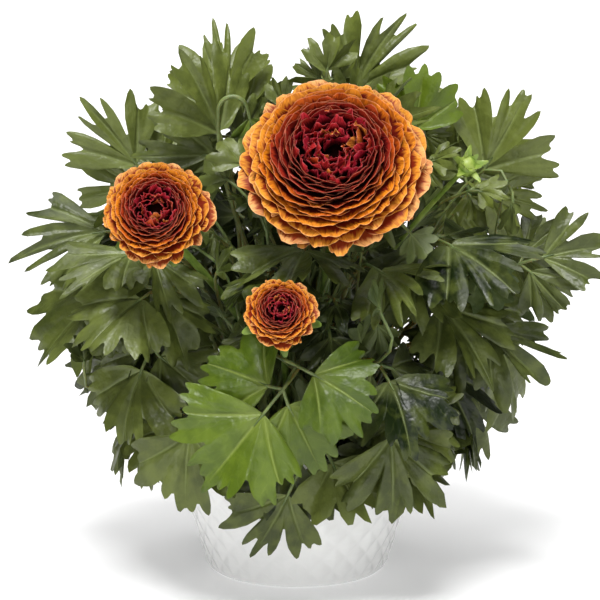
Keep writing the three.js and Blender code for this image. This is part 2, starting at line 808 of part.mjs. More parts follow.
// Each leaf keeps the first of its plans that comes clear of all that stands already.
function placeFrond(name, plans) {
  const frond = plans.find((plan) => frondLeaflets(plan).map(grownOutside).every(isClear));
  const made = wasm.Manifold.union(frondLeaflets(frond).map((l) => leafletSolid(l)));
  place(name, made, LOOKS.leaf);
  holes.push(holeFor(frond.root, PETIOLE_WIDTH));
  stand(made);
}

LEAVES_IN_FRONT.forEach((row, i) => {
  const root = takeCrownPlace(unit([row.fork[0], row.fork[1], 60]));
  const plans = Array.from({ length: ATTEMPTS }, (_, k) => {
    const draw = (j) => (chance(500 + i * 31.7 + k * 7.3 + j * 1.9) - 0.5) * k * 0.5;
    const midrib = unit(row.midrib);
    const fork = add(row.fork, [draw(1), draw(2), draw(3)]);
    const normal = square(row.facing, midrib);
    return { ...row, root, fork, midrib, normal, seed: 300 + i, droop: 0.18 };
  });
  placeFrond(`leaf_front_${i + 1}`, plans);
});

rowsByRule().forEach((row, i) => {
  const root = takeCrownPlace(row.way);
  const plans = Array.from({ length: ATTEMPTS }, (_, k) => planFrond({ ...row, root }, i, k));
  placeFrond(`leaf_${String(i + 1).padStart(2, "0")}`, plans);
});

place("potting_soil", makeSoil(holes), LOOKS.soil);
export default group;
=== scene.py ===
import math

import bpy
import numpy as np
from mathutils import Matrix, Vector
from mathutils.bvhtree import BVHTree


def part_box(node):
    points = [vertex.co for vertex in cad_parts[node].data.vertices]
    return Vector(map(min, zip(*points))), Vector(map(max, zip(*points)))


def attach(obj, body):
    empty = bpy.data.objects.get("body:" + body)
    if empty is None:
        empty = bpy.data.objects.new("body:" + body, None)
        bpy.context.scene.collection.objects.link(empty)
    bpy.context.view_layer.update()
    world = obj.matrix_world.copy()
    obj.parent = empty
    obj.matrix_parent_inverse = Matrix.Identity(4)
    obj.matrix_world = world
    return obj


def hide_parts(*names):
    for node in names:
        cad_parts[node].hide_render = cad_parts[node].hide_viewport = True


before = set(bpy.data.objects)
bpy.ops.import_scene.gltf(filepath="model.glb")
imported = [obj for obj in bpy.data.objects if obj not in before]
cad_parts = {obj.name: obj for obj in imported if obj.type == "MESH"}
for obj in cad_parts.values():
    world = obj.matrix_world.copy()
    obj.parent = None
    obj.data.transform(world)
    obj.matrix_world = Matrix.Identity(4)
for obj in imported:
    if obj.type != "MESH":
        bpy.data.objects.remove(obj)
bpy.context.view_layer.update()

# Camera, light and backdrop
# A plain white studio: a pale light table, a broad key light high in front, a weak fill from the
# right, a soft light from above and faint white surroundings. The camera stands 2 m away, 12
# degrees up.
MM = 0.001
RAISED = math.radians(12)
CAMERA_DISTANCE = 2000
AIM = (1.5, 0.0, 137.0)
PLANT_MIDDLE = (0, 0, 140)

scene = bpy.context.scene
scene.view_settings.view_transform = "Standard"


def aim_at(obj, place, target):
    obj.location = Vector(place) * MM
    way = Vector(target) - Vector(place)
    obj.rotation_euler = way.to_track_quat("-Z", "Y").to_euler()


def add_sun(name, place, strength, softness):
    data = bpy.data.lights.new(name, "SUN")
    data.energy = strength
    data.angle = math.radians(softness)
    lamp = bpy.data.objects.new(name, data)
    scene.collection.objects.link(lamp)
    aim_at(lamp, place, PLANT_MIDDLE)


camera_data = bpy.data.cameras.new("camera")
camera_data.sensor_width = 36
camera_data.lens = 240
camera = bpy.data.objects.new("camera", camera_data)
scene.collection.objects.link(camera)
back = (0, -CAMERA_DISTANCE * math.cos(RAISED), CAMERA_DISTANCE * math.sin(RAISED))
aim_at(camera, tuple(a + b for a, b in zip(AIM, back)), AIM)
camera_data.clip_end = 20
scene.camera = camera

add_sun("key", (-140, -800, 1700), 3.6, 22)
add_sun("fill", (600, -1700, 500), 0.75, 40)
add_sun("top", (-40, 250, 1700), 2.4, 60)

# A small soft lamp low in front lifts the pot out of the shade of its leaves.
pot_lamp_data = bpy.data.lights.new("pot_lamp", "SPOT")
pot_lamp_data.energy = 160
pot_lamp_data.spot_size = math.radians(9)
pot_lamp_data.spot_blend = 1
pot_lamp_data.shadow_soft_size = 0.3
pot_lamp = bpy.data.objects.new("pot_lamp", pot_lamp_data)
scene.collection.objects.link(pot_lamp)
aim_at(pot_lamp, (-750, -1250, 160), (-5, 0, 25))

world = bpy.data.worlds.new("white_room")
world.use_nodes = True
background = world.node_tree.nodes["Background"]
background.inputs["Color"].default_value = (1, 1, 1, 1)
background.inputs["Strength"].default_value = 0.05
scene.world = world


def new_material(name, colour, roughness, **sockets):
    """A principled material, its node tree and its shader."""
    material = bpy.data.materials.new(name)
    material.use_nodes = True
    shader = material.node_tree.nodes["Principled BSDF"]
    shader.inputs["Base Color"].default_value = (*colour, 1)
    shader.inputs["Roughness"].default_value = roughness
    for label, value in sockets.items():
        shader.inputs[label.replace("_", " ")].default_value = value
    return material, material.node_tree, shader


# Edges that bend by more than this many degrees stay crisp.
CRISP = 62


def make_object(name, points, faces, materials, smooth=True, index=None):
    """A mesh from points in millimetres. index holds each face's material."""
    mesh = bpy.data.meshes.new(name)
    mesh.from_pydata((np.asarray(points, float) * MM).tolist(), [], faces)
    for material in materials:
        mesh.materials.append(material)
    if index is not None:
        mesh.polygons.foreach_set("material_index", index)
    mesh.polygons.foreach_set("use_smooth", [smooth] * len(mesh.polygons))
    mesh.update()
    mesh.set_sharp_from_angle(angle=math.radians(CRISP))
    made = bpy.data.objects.new(name, mesh)
    scene.collection.objects.link(made)
    return made


# The table is a light table: a little light comes up through it.
floor_material, _, shader = new_material("pale_floor", (0.6, 0.6, 0.6), 0.7)
shader.inputs["Emission Color"].default_value = (1, 1, 1, 1)
shader.inputs["Emission Strength"].default_value = 0.38
FLOOR = 6000
floor = make_object(
    "floor",
    [(-FLOOR, -FLOOR, 0), (FLOOR, -FLOOR, 0), (FLOOR, FLOOR, 0), (-FLOOR, FLOOR, 0)],
    [(0, 1, 2, 3)],
    [floor_material],
)


# Pot
# A cover pot of white glazed earthenware, slip-cast in one piece, with a low relief of diamonds
# all round. Each bulges a little from its edges to its middle, and the glaze softens them.
POT_HEIGHT = 70
POT_RIM = 64
POT_FOOT = 44
POT_WALL = 4
POT_FLOOR = 6
POT_EDGE = 2.5
DIAMOND_COLUMNS = 24
DIAMOND_ROWS = 10
PILLOW = 1.1
STEPS_A_COLUMN = 14
RELIEF_LEVELS = 84
AXIS_HOLE = 0.01


def pot_radius(z):
    """The wall's outer radius at a height, without the relief."""
    return POT_FOOT + (POT_RIM - POT_FOOT) * z / POT_HEIGHT


def diamond(turn, row):
    """How far the wall stands out at a place, from a diamond's edge to its middle."""
    a, b = turn + row / 2, turn - row / 2
    edge = min(abs(a - round(a)), abs(b - round(b)))
    return PILLOW * min(1.0, edge / 0.5) ** 0.8


def lathe(profile, count):
    """A turned surface from pairs of radius and height, open at both ends of the profile."""
    points = []
    for r, z in profile:
        for i in range(count):
            a = 2 * math.pi * i / count
            points.append((r * math.cos(a), r * math.sin(a), z))
    faces = []
    for k in range(len(profile) - 1):
        for i in range(count):
            j = (i + 1) % count
            faces.append((k * count + i, k * count + j, (k + 1) * count + j, (k + 1) * count + i))
    return points, faces


def pot_mesh():
    """The pot in one: its foot, the wall with the relief, the rounded lip and the plain inside."""
    count = DIAMOND_COLUMNS * STEPS_A_COLUMN
    relief_height = POT_HEIGHT - 2 * POT_EDGE
    foot = [(AXIS_HOLE, 0), (POT_FOOT - POT_EDGE - 1, 0), (POT_FOOT - POT_EDGE * 0.7, 0.15)]
    foot += [(POT_FOOT - POT_EDGE * 0.28, 0.8), (pot_radius(1.7) - 0.1, 1.7)]
    levels = [POT_EDGE + relief_height * k / RELIEF_LEVELS for k in range(RELIEF_LEVELS + 1)]
    wall = [(pot_radius(z), z) for z in levels]
    lip = [(POT_RIM - 0.3, POT_HEIGHT - 0.7), (POT_RIM - 1, POT_HEIGHT - 0.1)]
    lip += [(POT_RIM - 2, POT_HEIGHT), (POT_RIM - POT_WALL + 0.6, POT_HEIGHT - 0.2)]
    inside = [(pot_radius(z) - POT_WALL, z) for z in (POT_HEIGHT - 1.2, 40, POT_FLOOR)]
    points, faces = lathe([*foot, *wall, *lip, *inside, (AXIS_HOLE, POT_FLOOR)], count)
    for n in range(len(foot) * count, (len(foot) + len(wall)) * count):
        x, y, z = points[n]
        turn = math.atan2(y, x) / (2 * math.pi) * DIAMOND_COLUMNS
        row = (z - POT_EDGE) / relief_height * DIAMOND_ROWS
        fade = min(1.0, (POT_HEIGHT - POT_EDGE - z) / 2, (z - POT_EDGE) / 2)
        r = math.hypot(x, y)
        grown = (r + diamond(turn, row) * fade) / r
        points[n] = (x * grown, y * grown, z)
    return points, faces


glaze, _, _ = new_material(
    "white_glaze", (0.87, 0.87, 0.86), 0.16, Coat_Weight=0.5, Coat_Roughness=0.06, IOR=1.5
)
pot = make_object("pot_glazed", *pot_mesh(), [glaze])
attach(pot, "root")
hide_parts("pot")


# Potting mix
# Dark peat with fine crumbs, poured loose round the roots and filled to just under the rim. All
# the stalks rise from its middle.
SOIL_TOP = 61
SOIL_MOUND = 3
SOIL_RINGS = 26
SOIL_STEPS = 96
GAP = 0.3
CRUMBS = 420
CRUMBS_REACH = 57


def chance(n):
    """A repeatable draw between 0 and 1 for any number."""
    s = math.sin(n * 12.9898 + 4.1414) * 43758.5453
    return s - math.floor(s)


def soil_mesh():
    """A plug that fills the pot, mounded on top, with lumps inside its outermost ring."""
    edge = pot_radius(SOIL_TOP) - POT_WALL - GAP
    base = POT_FLOOR + GAP
    profile = [(AXIS_HOLE, base), (pot_radius(base) - POT_WALL - GAP - 0.2, base)]
    for k in range(SOIL_RINGS + 1):
        r = edge * (1 - k / SOIL_RINGS) + AXIS_HOLE
        profile.append((r, SOIL_TOP - 0.8 + SOIL_MOUND * (1 - (r / edge) ** 2)))
    points, faces = lathe(profile, SOIL_STEPS)
    for n in range(3 * SOIL_STEPS, len(points)):
        x, y, z = points[n]
        lump = math.sin(x * 0.9 + 2) * math.sin(y * 1.1) + math.sin(x * 2.3) * math.cos(y * 2.1)
        points[n] = (x, y, z + lump * 0.35 + (chance(n) - 0.5) * 0.5)
    return points, faces


def noise_value(tree, scale, detail, vector=None):
    """A noise in the object's own metres, or along a vector."""
    node = tree.nodes.new("ShaderNodeTexNoise")
    node.inputs["Scale"].default_value = scale
    node.inputs["Detail"].default_value = detail
    if vector is None:
        vector = tree.nodes.new("ShaderNodeTexCoord").outputs["Object"]
    tree.links.new(vector, node.inputs["Vector"])
    return node.outputs["Fac"]


def add_bump(tree, shader, height, distance, strength=1.0):
    node = tree.nodes.new("ShaderNodeBump")
    node.inputs["Distance"].default_value = distance
    node.inputs["Strength"].default_value = strength
    tree.links.new(height, node.inputs["Height"])
    tree.links.new(node.outputs["Normal"], shader.inputs["Normal"])


peat, tree, shader = new_material("peat", (0.03, 0.018, 0.011), 0.95)
whole = tree.nodes.new("ShaderNodeTexCoord").outputs["Generated"]
add_bump(tree, shader, noise_value(tree, 900, 4, whole), 0.0008, 0.8)
soil = make_object("potting_mix", *soil_mesh(), [peat])
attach(soil, "root")
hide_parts("potting_soil")

# Loose crumbs lie on the mix, each a rough lump with six corners.
CRUMB_CORNERS = [(1, 0, 0), (0, 1, 0), (-1, 0, 0), (0, -1, 0), (0, 0, 1), (0, 0, -1)]
crumb_points, crumb_faces = [], []
for n in range(CRUMBS):
    turn = chance(n + 0.3) * 2 * math.pi
    out = (pot_radius(SOIL_TOP) - POT_WALL - 2.5) * math.sqrt(chance(n + 0.7))
    size = 0.6 + 1.1 * chance(n * 1.7)
    height = SOIL_TOP - 0.6 + SOIL_MOUND * (1 - (out / CRUMBS_REACH) ** 2)
    place = np.array([out * math.cos(turn), out * math.sin(turn), height])
    first = len(crumb_points)
    for k, corner in enumerate(CRUMB_CORNERS):
        stretch = size * (0.7 + 0.6 * chance(n * 6.1 + k))
        crumb_points.append(place + np.array(corner) * stretch)
    for a in range(4):
        b = (a + 1) % 4
        crumb_faces += [(first + a, first + b, first + 4), (first + b, first + a, first + 5)]
crumbs = make_object("peat_crumbs", crumb_points, crumb_faces, [peat], smooth=False)
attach(crumbs, "root")


# Leaves
# Each leaf is grown in one: a pale petiole from the crown, forked into three cut leaflets with
# pointed teeth. The source places every leaf by a rule and keeps the first try that comes clear of
# the others, so the same rule is followed here and the try whose box is the leaf's own is taken.
ROOT_DEPTH = 12
CROWN_SPACING = 4.1
CROWN_PLACES = 62
CROWN_INNER = 5
CROWN_OUTER = 30
LEAN_PER_MM = 0.016
CANOPY_CENTRE = np.array([5, 2, 146.0])
CANOPY_REACH = 139
CANOPY_SHAPE = np.array([1, 0.86, 0.91])
HIGHEST_RISE = 0.95
LOWEST_RISE = -0.68
BACK_FROM = 0.35
FRONDS_BY_RULE = 37
GOLDEN_ANGLE = math.radians(137.508)
PETIOLE_WIDTH = 2.6
STALK_WIDTH = 1.8
BRANCH_BELOW = 1.7
LEAFLET_LENGTH = 46
MIDDLE_STALK = 13
SIDE_STALK = 7
SIDE_SHARE = 0.84
SIDE_ANGLE = 70
SIDE_FALL = 0.32
SIDE_TILT = 0.3
SPREAD = 0.2
ATTEMPTS = 160
BLADE = 0.8
UP = np.array([0, 0, 1.0])


def unit(a):
    a = np.asarray(a, float)
    return a / math.sqrt(a @ a)


def mix(a, b, share):
    return a + (b - a) * share


def square(a, b):
    """The part of a that is at right angles to b, as a direction."""
    a = np.asarray(a, float)
    return unit(a - b * (a @ b))


def crown_place(i):
    """The foot of the stalk numbered i, in a spiral from the pot's middle."""
    r = CROWN_SPACING * math.sqrt(i + 0.5)
    a = i * GOLDEN_ANGLE
    return (r * math.sin(a), -r * math.cos(a))


CROWN = [crown_place(i) for i in range(CROWN_PLACES)]
taken = set()


def take_crown_place(way):
    """The nearest free foot for a stalk that leaves that way, further out the lower it leans."""
    out = CROWN_INNER + (CROWN_OUTER - CROWN_INNER) * min(1, (1 - way[2]) / 1.6)
    flat = math.hypot(way[0], way[1]) or 1
    wanted = (out * way[0] / flat, out * way[1] / flat)
    free = [i for i in range(CROWN_PLACES) if i not in taken]
    best = min(free, key=lambda i: math.dist(CROWN[i], wanted))
    taken.add(best)
    return CROWN[best]


def route(root, end, end_way, steps):
    """A stalk's route: straight up out of the mix, then one smooth curve to its end."""
    foot = np.array([root[0], root[1], SOIL_TOP - ROOT_DEPTH])
    start = np.array([root[0], root[1], SOIL_TOP + SOIL_MOUND + 1])
    span = np.linalg.norm(end - start)
    b = start + unit([root[0] * LEAN_PER_MM, root[1] * LEAN_PER_MM, 1]) * span * 0.4
    c = end - end_way * span * 0.32
    points = [foot, start]
    for i in range(1, steps + 1):
        t = i / steps
        s = 1 - t
        points.append(s**3 * start + 3 * s * s * t * b + 3 * s * t * t * c + t**3 * end)
    return points


# Degrees from the midrib and share of the length, from beside the middle lobe's tip outwards.
OUTLINES = {
    "broad": [(15, 0.93), (24, 0.64), (38, 0.95), (60, 0.82), (82, 0.28)],
    "cut": [(12, 0.92), (19, 0.4), (32, 0.93), (50, 0.8), (74, 0.2)],
    "lacy": [(10, 0.9), (17, 0.3), (29, 0.9), (45, 0.78), (66, 0.15)],
}
SIDE_RIBS = {"broad": 49, "cut": 41, "lacy": 37}


def leaflet_outline(leaflet):
    """The leaflet's few corners, each lobe a little different, in its own plane."""

    def corner(angle, share, i):
        a = math.radians(angle + (chance(leaflet["seed"] + i * 3.1) - 0.5) * 5)
        r = share * leaflet["length"] * (1 + (chance(leaflet["seed"] + i * 5.7) - 0.5) * 0.14)
        return (r * math.cos(a), r * math.sin(a))

    half = OUTLINES[leaflet["kind"]]
    left = [corner(-a, r, i + 1) for i, (a, r) in enumerate(half)][::-1]
    right = [corner(a, r, i + 21) for i, (a, r) in enumerate(half)]
    return np.array([*left, (leaflet["length"], 0), *right])


def leaflet_height(leaflet, u, v):
    """How far the blade stands off its plane: it waves, droops to its tip and bends back."""
    size = leaflet["length"]
    wave = np.sin(3.2 * v / size + leaflet["seed"]) * 0.06 * u
    return wave - leaflet["droop"] * u * u / size - leaflet["spread"] * v * v / size


def leaflet_place(leaflet, u, v, lift):
    """From along the midrib, across it and off the plane to the plant's own millimetres."""
    u, v, lift = (np.asarray(q, float)[..., None] for q in (u, v, lift))
    return (
        leaflet["base"] + leaflet["midrib"] * u + leaflet["across"] * v + leaflet["normal"] * lift
    )


def frond_leaflets(frond, steps=3):
    """The three leaflets of a compound leaf, or the one of a simple leaf."""
    midrib, normal, size, seed = (frond[k] for k in ("midrib", "normal", "size", "seed"))
    across = np.cross(normal, midrib)
    petiole = route(frond["root"], frond["fork"], unit(midrib + normal * 0.25), steps)
    branch = frond["fork"] - unit(petiole[-1] - petiole[-2]) * BRANCH_BELOW
    leaflets = []
    for s in (-1, 0, 1):
        turn = s * math.radians(SIDE_ANGLE + (chance(seed + s * 2.3) - 0.5) * 14)
        way = midrib * math.cos(turn) + across * math.sin(turn)
        way = unit(way + normal * (-SIDE_FALL if s else 0))
        face = square(normal + across * s * SIDE_TILT, way)
        base = frond["fork"] + way * (SIDE_STALK if s else MIDDLE_STALK) * size
        leaflets.append(
            {
                "kind": frond["kind"],
                "droop": frond["droop"],
                "spread": SPREAD,
                "base": base,
                "midrib": way,
                "normal": face,
                "across": np.cross(face, way),
                "length": LEAFLET_LENGTH * size * (SIDE_SHARE if s else 1),
                "seed": seed + s * 11.3,
                "stalk": [branch, base],
            }
        )
    leaflets[1]["stalk"] = [*petiole, leaflets[1]["base"]]
    return [leaflets[1]] if frond.get("simple") else leaflets


def plan_frond(row, i, k):
    """Where the leaf numbered i would stand on its try numbered k."""

    def draw(j):
        return chance(i * 31.7 + k * 7.3 + j * 1.9) - 0.5

    stray = 0.08 + k * 0.01
    way = unit([w + draw(j) * stray * 2 for j, w in enumerate(row["way"])])
    size = row["size"] * (1 - min(k, 100) * 0.0045)
    depth = row["depth"] + (draw(4) + 0.3) * min(k, 80) * 0.5
    reach = CANOPY_REACH - depth - LEAFLET_LENGTH * size
    fork = CANOPY_CENTRE + way * reach * CANOPY_SHAPE
    hang = 0.08 + 0.46 * (1 - way[2]) + row["hang"]
    stray_way = np.array([draw(5), draw(6), draw(7)]) * 0.5
    midrib = unit(way + square(-UP, way) * hang + stray_way)
    front = -0.95 if way[1] < BACK_FROM or way[2] > 0.45 else 0.5
    facing = np.array([0, front, 1]) + way * 0.5 + np.array([draw(8), draw(9), draw(10)]) * 0.7
    return {
        **row,
        "fork": fork,
        "midrib": midrib,
        "normal": square(facing, midrib),
        "size": size,
        "seed": i * 1.7 + k,
    }


def frond_box(frond):
    """The box of the source's plain leaf."""
    places = []
    for leaflet in frond_leaflets(frond):
        u, v = leaflet_outline(leaflet).T
        for lift in (BLADE / 2, -BLADE / 2):
            places.append(leaflet_place(leaflet, u, v, leaflet_height(leaflet, u, v) + lift))
        places.append(np.array(leaflet["stalk"]))
    places = np.concatenate(places)
    return np.concatenate([places.min(axis=0), places.max(axis=0)])


def best_plan(node, plans):
    """The plan that fills the leaf's own box."""
    low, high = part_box(node)
    wanted = np.array([*low, *high]) / MM

    def miss(plan):
        return np.abs(frond_box(plan) - wanted).sum()

    return min(plans, key=miss)


# Where each forks, which way its midrib and its face point, its size and kind, and whether it is
# a single leaflet.
LEAVES_IN_FRONT = [
    ((0, -84, 68), (-0.42, -0.06, -0.9), (0, -1, 0.2), 0.8, "cut", True),
    ((-2, -112, 122), (-0.62, -0.2, -0.75), (-0.1, -1, 0.4), 1.02, "broad", False),
    ((6, -106, 118), (0.86, -0.3, -0.4), (0, -0.9, 0.6), 0.8, "broad", True),
    ((52, -30, 222), (0.1, -0.1, 1), (0.1, -1, 0.1), 0.7, "broad", True),
    ((-72, -22, 200), (-0.55, -0.1, 0.8), (-0.2, -1, 0.5), 0.92, "lacy", False),
    ((86, -14, 196), (0.5, -0.1, 0.8), (0.2, -1, 0.5), 0.95, "cut", False),
    ((-32, 4, 226), (-0.2, 0.1, 1), (-0.1, -1, 0.3), 0.9, "lacy", False),
    ((100, -22, 168), (1, -0.1, 0.3), (0.2, -1, 0.6), 0.8, "lacy", False),
    ((44, -88, 100), (0.1, -0.2, -1), (0.1, -1, 0.3), 0.9, "cut", True),
    ((-50, -86, 100), (-0.15, -0.1, -1), (-0.1, -1, 0.3), 0.85, "broad", True),
]


def front_plans(row, i, root):
    """The tries for a leaf in front, each a little further from its own place."""
    fork, midrib, facing, size, kind, simple = row
    midrib = unit(midrib)
    for k in range(ATTEMPTS):
        shift = [(chance(500 + i * 31.7 + k * 7.3 + j * 1.9) - 0.5) * k * 0.5 for j in (1, 2, 3)]
        yield {
            "root": root,
            "fork": np.array(fork, float) + shift,
            "midrib": midrib,
            "normal": square(facing, midrib),
            "size": size,
            "kind": kind,
            "simple": simple,
            "seed": 300 + i,
            "droop": 0.18,
        }


def rule_row(i):
    """The leaf numbered i of the dome, from the top down."""
    z = HIGHEST_RISE + (LOWEST_RISE - HIGHEST_RISE) * i / (FRONDS_BY_RULE - 1)
    r = math.sqrt(1 - z * z)
    a = i * GOLDEN_ANGLE + 2.05
    way = (r * math.sin(a), -r * math.cos(a), z)
    low = z < 0.15 and way[0] < 0.3
    return {
        "way": way,
        "kind": "broad" if low else "cut" if i % 3 else "lacy",
        "simple": i % 4 == 3,
        "size": 0.96 + chance(i * 4.1) * 0.2,
        "depth": 18 if i % 4 == 3 else 0,
        "hang": chance(i * 9.7) * 0.3 - 0.1,
        "droop": 0.2 + chance(i * 6.3) * 0.2,
    }


# TOOTH_SHAPE is a tooth's outline: the share of its width that is passed, and how far it stands out
# there. The other lengths are shares of the leaflet's length or of its lobe's reach.
TOOTH_WIDTH = 6.4
TOOTH_DEPTH = 0.11
TOOTH_SHAPE = [(0.25, 0.0), (0.55, 0.35), (1.0, -1.0)]
TOOTH_STRAY = 0.035
DEEPEST_NOTCH = 0.7
FLANK_TURN = 0.72
FLANK_REACH = 0.62
LOBE_FILL = 0.52
LOBE_SHOULDER = 0.93
NOTCH_SHOULDER = 0.95
SECOND_NOTCH = {"broad": 0.92, "cut": 0.76, "lacy": 0.62}
HEEL = 0.035
HEEL_ANGLE = 0.16


def flank(notch_angle, notch_radius, angle, radius):
    """The point on a lobe's side, between its notch and its end, where it turns outwards."""
    return mix(notch_angle, angle, FLANK_TURN), mix(notch_radius, radius, FLANK_REACH)


def lobe_end(leaflet, angles, radii, start, stop):
    """A lobe's end before its teeth: its corners, with a second notch between each two."""
    places, heights = [start], [radii[0] * LOBE_SHOULDER]
    for k, (angle, radius) in enumerate(zip(angles, radii)):
        if k > 0:
            middle = (angles[k - 1] + angle) / 2
            half = 0.2 * (angle - angles[k - 1])
            low = SECOND_NOTCH[leaflet["kind"]] * min(radii[k - 1], radius)
            places += [middle - half, middle, middle + half]
            heights += [radii[k - 1] * NOTCH_SHOULDER, low, radius * NOTCH_SHOULDER]
        places.append(angle)
        heights.append(radius)
    return [*places, stop], [*heights, radii[-1] * LOBE_SHOULDER]


def toothed(leaflet, line, radius, i):
    """The same end with its teeth, each rising to a point and dropping back behind it."""
    places, heights = line
    start, stop = places[0], places[-1]
    teeth = max(2, round((stop - start) * radius / TOOTH_WIDTH))
    step = (stop - start) / teeth
    polar = []
    for k in range(teeth):
        draw = chance(leaflet["seed"] + k * 2.9 + i * 5.3) - 0.5
        for share, depth in TOOTH_SHAPE:
            if share < 1 or k < teeth - 1:
                a = start + step * (k + share)
                r = np.interp(a, places, heights) + TOOTH_STRAY * draw * leaflet["length"]
                polar.append((a, r * (1 + TOOTH_DEPTH * depth)))
    return polar


def lobed(leaflet, fine=True):
    """The fine outline: wedge lobes between the source's notches, with toothed ends."""
    corners = leaflet_outline(leaflet)
    angles = np.arctan2(corners[:, 1], corners[:, 0])
    radii = np.hypot(corners[:, 0], corners[:, 1])
    last = len(radii) - 1
    deep = DEEPEST_NOTCH * leaflet["length"]
    notches = [i for i in range(1, last) if radii[i] < min(radii[i - 1], radii[i + 1], deep)]
    ends = [0, *notches, last]
    heel = HEEL * leaflet["length"]
    polar = [(angles[0] - HEEL_ANGLE, heel)]
    for i, j in zip(ends, ends[1:]):
        peaks = [k for k in range(i + 1, j) if radii[k] > min(radii[i], radii[j])]
        first, final = peaks[0], peaks[-1]
        start = angles[first] - LOBE_FILL * (angles[first] - angles[i])
        stop = angles[final] + LOBE_FILL * (angles[j] - angles[final])
        polar.append((angles[i], radii[i]))
        polar.append(flank(angles[i], radii[i], start, radii[first]))
        own = slice(first, final + 1)
        line = lobe_end(leaflet, angles[own], radii[own], start, stop)
        polar += toothed(leaflet, line, radii[first], i)
        polar.append(flank(angles[j], radii[j], stop, radii[final]))
    polar.append((angles[last], radii[last]))
    polar.append((angles[last] + HEEL_ANGLE, heel))
    a, r = np.array(polar).T
    points = np.stack([r * np.cos(a), r * np.sin(a)], axis=-1)
    if not fine:
        return points
    # Every corner is cut off a quarter of the way along its sides, so that no tooth is needle-sharp.
    cut = np.empty((2 * len(points) - 2, 2))
    cut[0::2] = points[:-1] * 0.75 + points[1:] * 0.25
    cut[1::2] = points[:-1] * 0.25 + points[1:] * 0.75
    return cut


def tube(points, radii, sides=8):
    """A round stalk along a route, closed at both ends."""
    points = [np.asarray(p, float) for p in points]
    side = None
    places, faces = [], []
    for i, p in enumerate(points):
        way = unit(points[min(i + 1, len(points) - 1)] - points[max(i - 1, 0)])
        if side is None:
            side = square([1, 0, 0] if abs(way[0]) < 0.8 else [0, 1, 0], way)
        side = square(side, way)
        up = np.cross(way, side)
        for k in range(sides):
            a = 2 * math.pi * k / sides
            places.append(p + (side * math.cos(a) + up * math.sin(a)) * radii[i])
    for i in range(len(points) - 1):
        for k in range(sides):
            j = (k + 1) % sides
            low, high = i * sides, (i + 1) * sides
            faces.append((low + k, low + j, high + j, high + k))
    faces.append(tuple(range(sides))[::-1])
    faces.append(tuple(range((len(points) - 1) * sides, len(points) * sides)))
    return places, faces


def sheet_faces(rows, columns):
    """The faces of a thin sheet's two layers, by turns one above and one below."""
    layer = rows * columns
    faces = []
    for k in range(rows - 1):
        for i in range(columns - 1):
            a = k * columns + i
            b, c, d = a + 1, a + columns + 1, a + columns
            faces.append((a, d, c, b))
            faces.append((a + layer, b + layer, c + layer, d + layer))
    return faces


def rim_faces(rim, layer):
    """The narrow faces that close a sheet along its rim."""
    return [(a, a + layer, b + layer, b) for a, b in zip(rim, rim[1:])]


RINGS = (0.03, 0.16, 0.34, 0.53, 0.71, 0.87)
SMALL_RINGS = (0.04, 0.35, 0.7)
SHEET = 0.22
SHEET_AT_RIM = 0.04
FOLD = 0.26
RIB_DEPTH = 0.6
RIB_WIDTH = 0.035
LUMP = 0.6
RIPPLE = 0.045
CURL = 0.05
SWAY = 0.26
FLARE = 0.12


def blade_mesh(leaflet, rings=RINGS):
    """A leaflet's blade, closed all round, with its veins pressed in.

    Returns points, faces, the material of each face and two sets of texture places: in the
    blade's own plane, and along and away from the nearest rib.
    """
    size = leaflet["length"]
    edge = lobed(leaflet, len(rings) > len(SMALL_RINGS))
    count = len(edge)
    shares = np.array([*rings, 1.0])
    u = shares[:, None] * edge[None, :, 0]
    v = shares[:, None] * edge[None, :, 1]
    angle = np.arctan2(v, u)
    radius = np.hypot(u, v)
    rib = math.radians(SIDE_RIBS[leaflet["kind"]])
    nearest = np.abs(np.abs(angle) - rib * (np.abs(angle) > rib / 2))
    along = radius * np.cos(nearest)
    beside = radius * np.sin(nearest)
    seed = leaflet["seed"]
    groove = RIB_DEPTH * np.exp(-((beside / (RIB_WIDTH * size)) ** 2)) * (1.15 - along / size)
    crease = FOLD * beside - groove
    lumps = np.sin(u * 0.42 + seed * 2) * np.sin(v * 0.5 + seed) * LUMP
    ripple = np.sin(angle * 10 + seed * 3) * RIPPLE * size * shares[:, None] ** 3
    curl = np.sin(angle * 4 + seed) * CURL * size * shares[:, None] ** 2
    height = leaflet_height(leaflet, u, v) + crease + lumps * shares[:, None] + ripple + curl
    flared = angle * (1 + FLARE * (radius / size) ** 2)
    u = radius * np.cos(flared)
    v = radius * np.sin(flared) + SWAY * (chance(seed * 1.9) - 0.5) * u * u / size
    half = np.full_like(u, SHEET)
    half[-1] = SHEET_AT_RIM
    top = leaflet_place(leaflet, u, v, height + half).reshape(-1, 3)
    under = leaflet_place(leaflet, u, v, height - half).reshape(-1, 3)
    points = np.concatenate([top, under])
    faces = sheet_faces(len(shares), count)
    index = [0, 1] * (len(faces) // 2)
    rim = rim_faces(range(len(top) - count, len(top)), len(top))
    faces += rim
    index += [0] * len(rim)
    plane = np.stack([u / size, v / size], axis=-1).reshape(-1, 2)
    ribs = np.stack([along / size, beside / size], axis=-1).reshape(-1, 2)
    return points, faces, index, np.tile(plane, (2, 1)), np.tile(ribs, (2, 1))


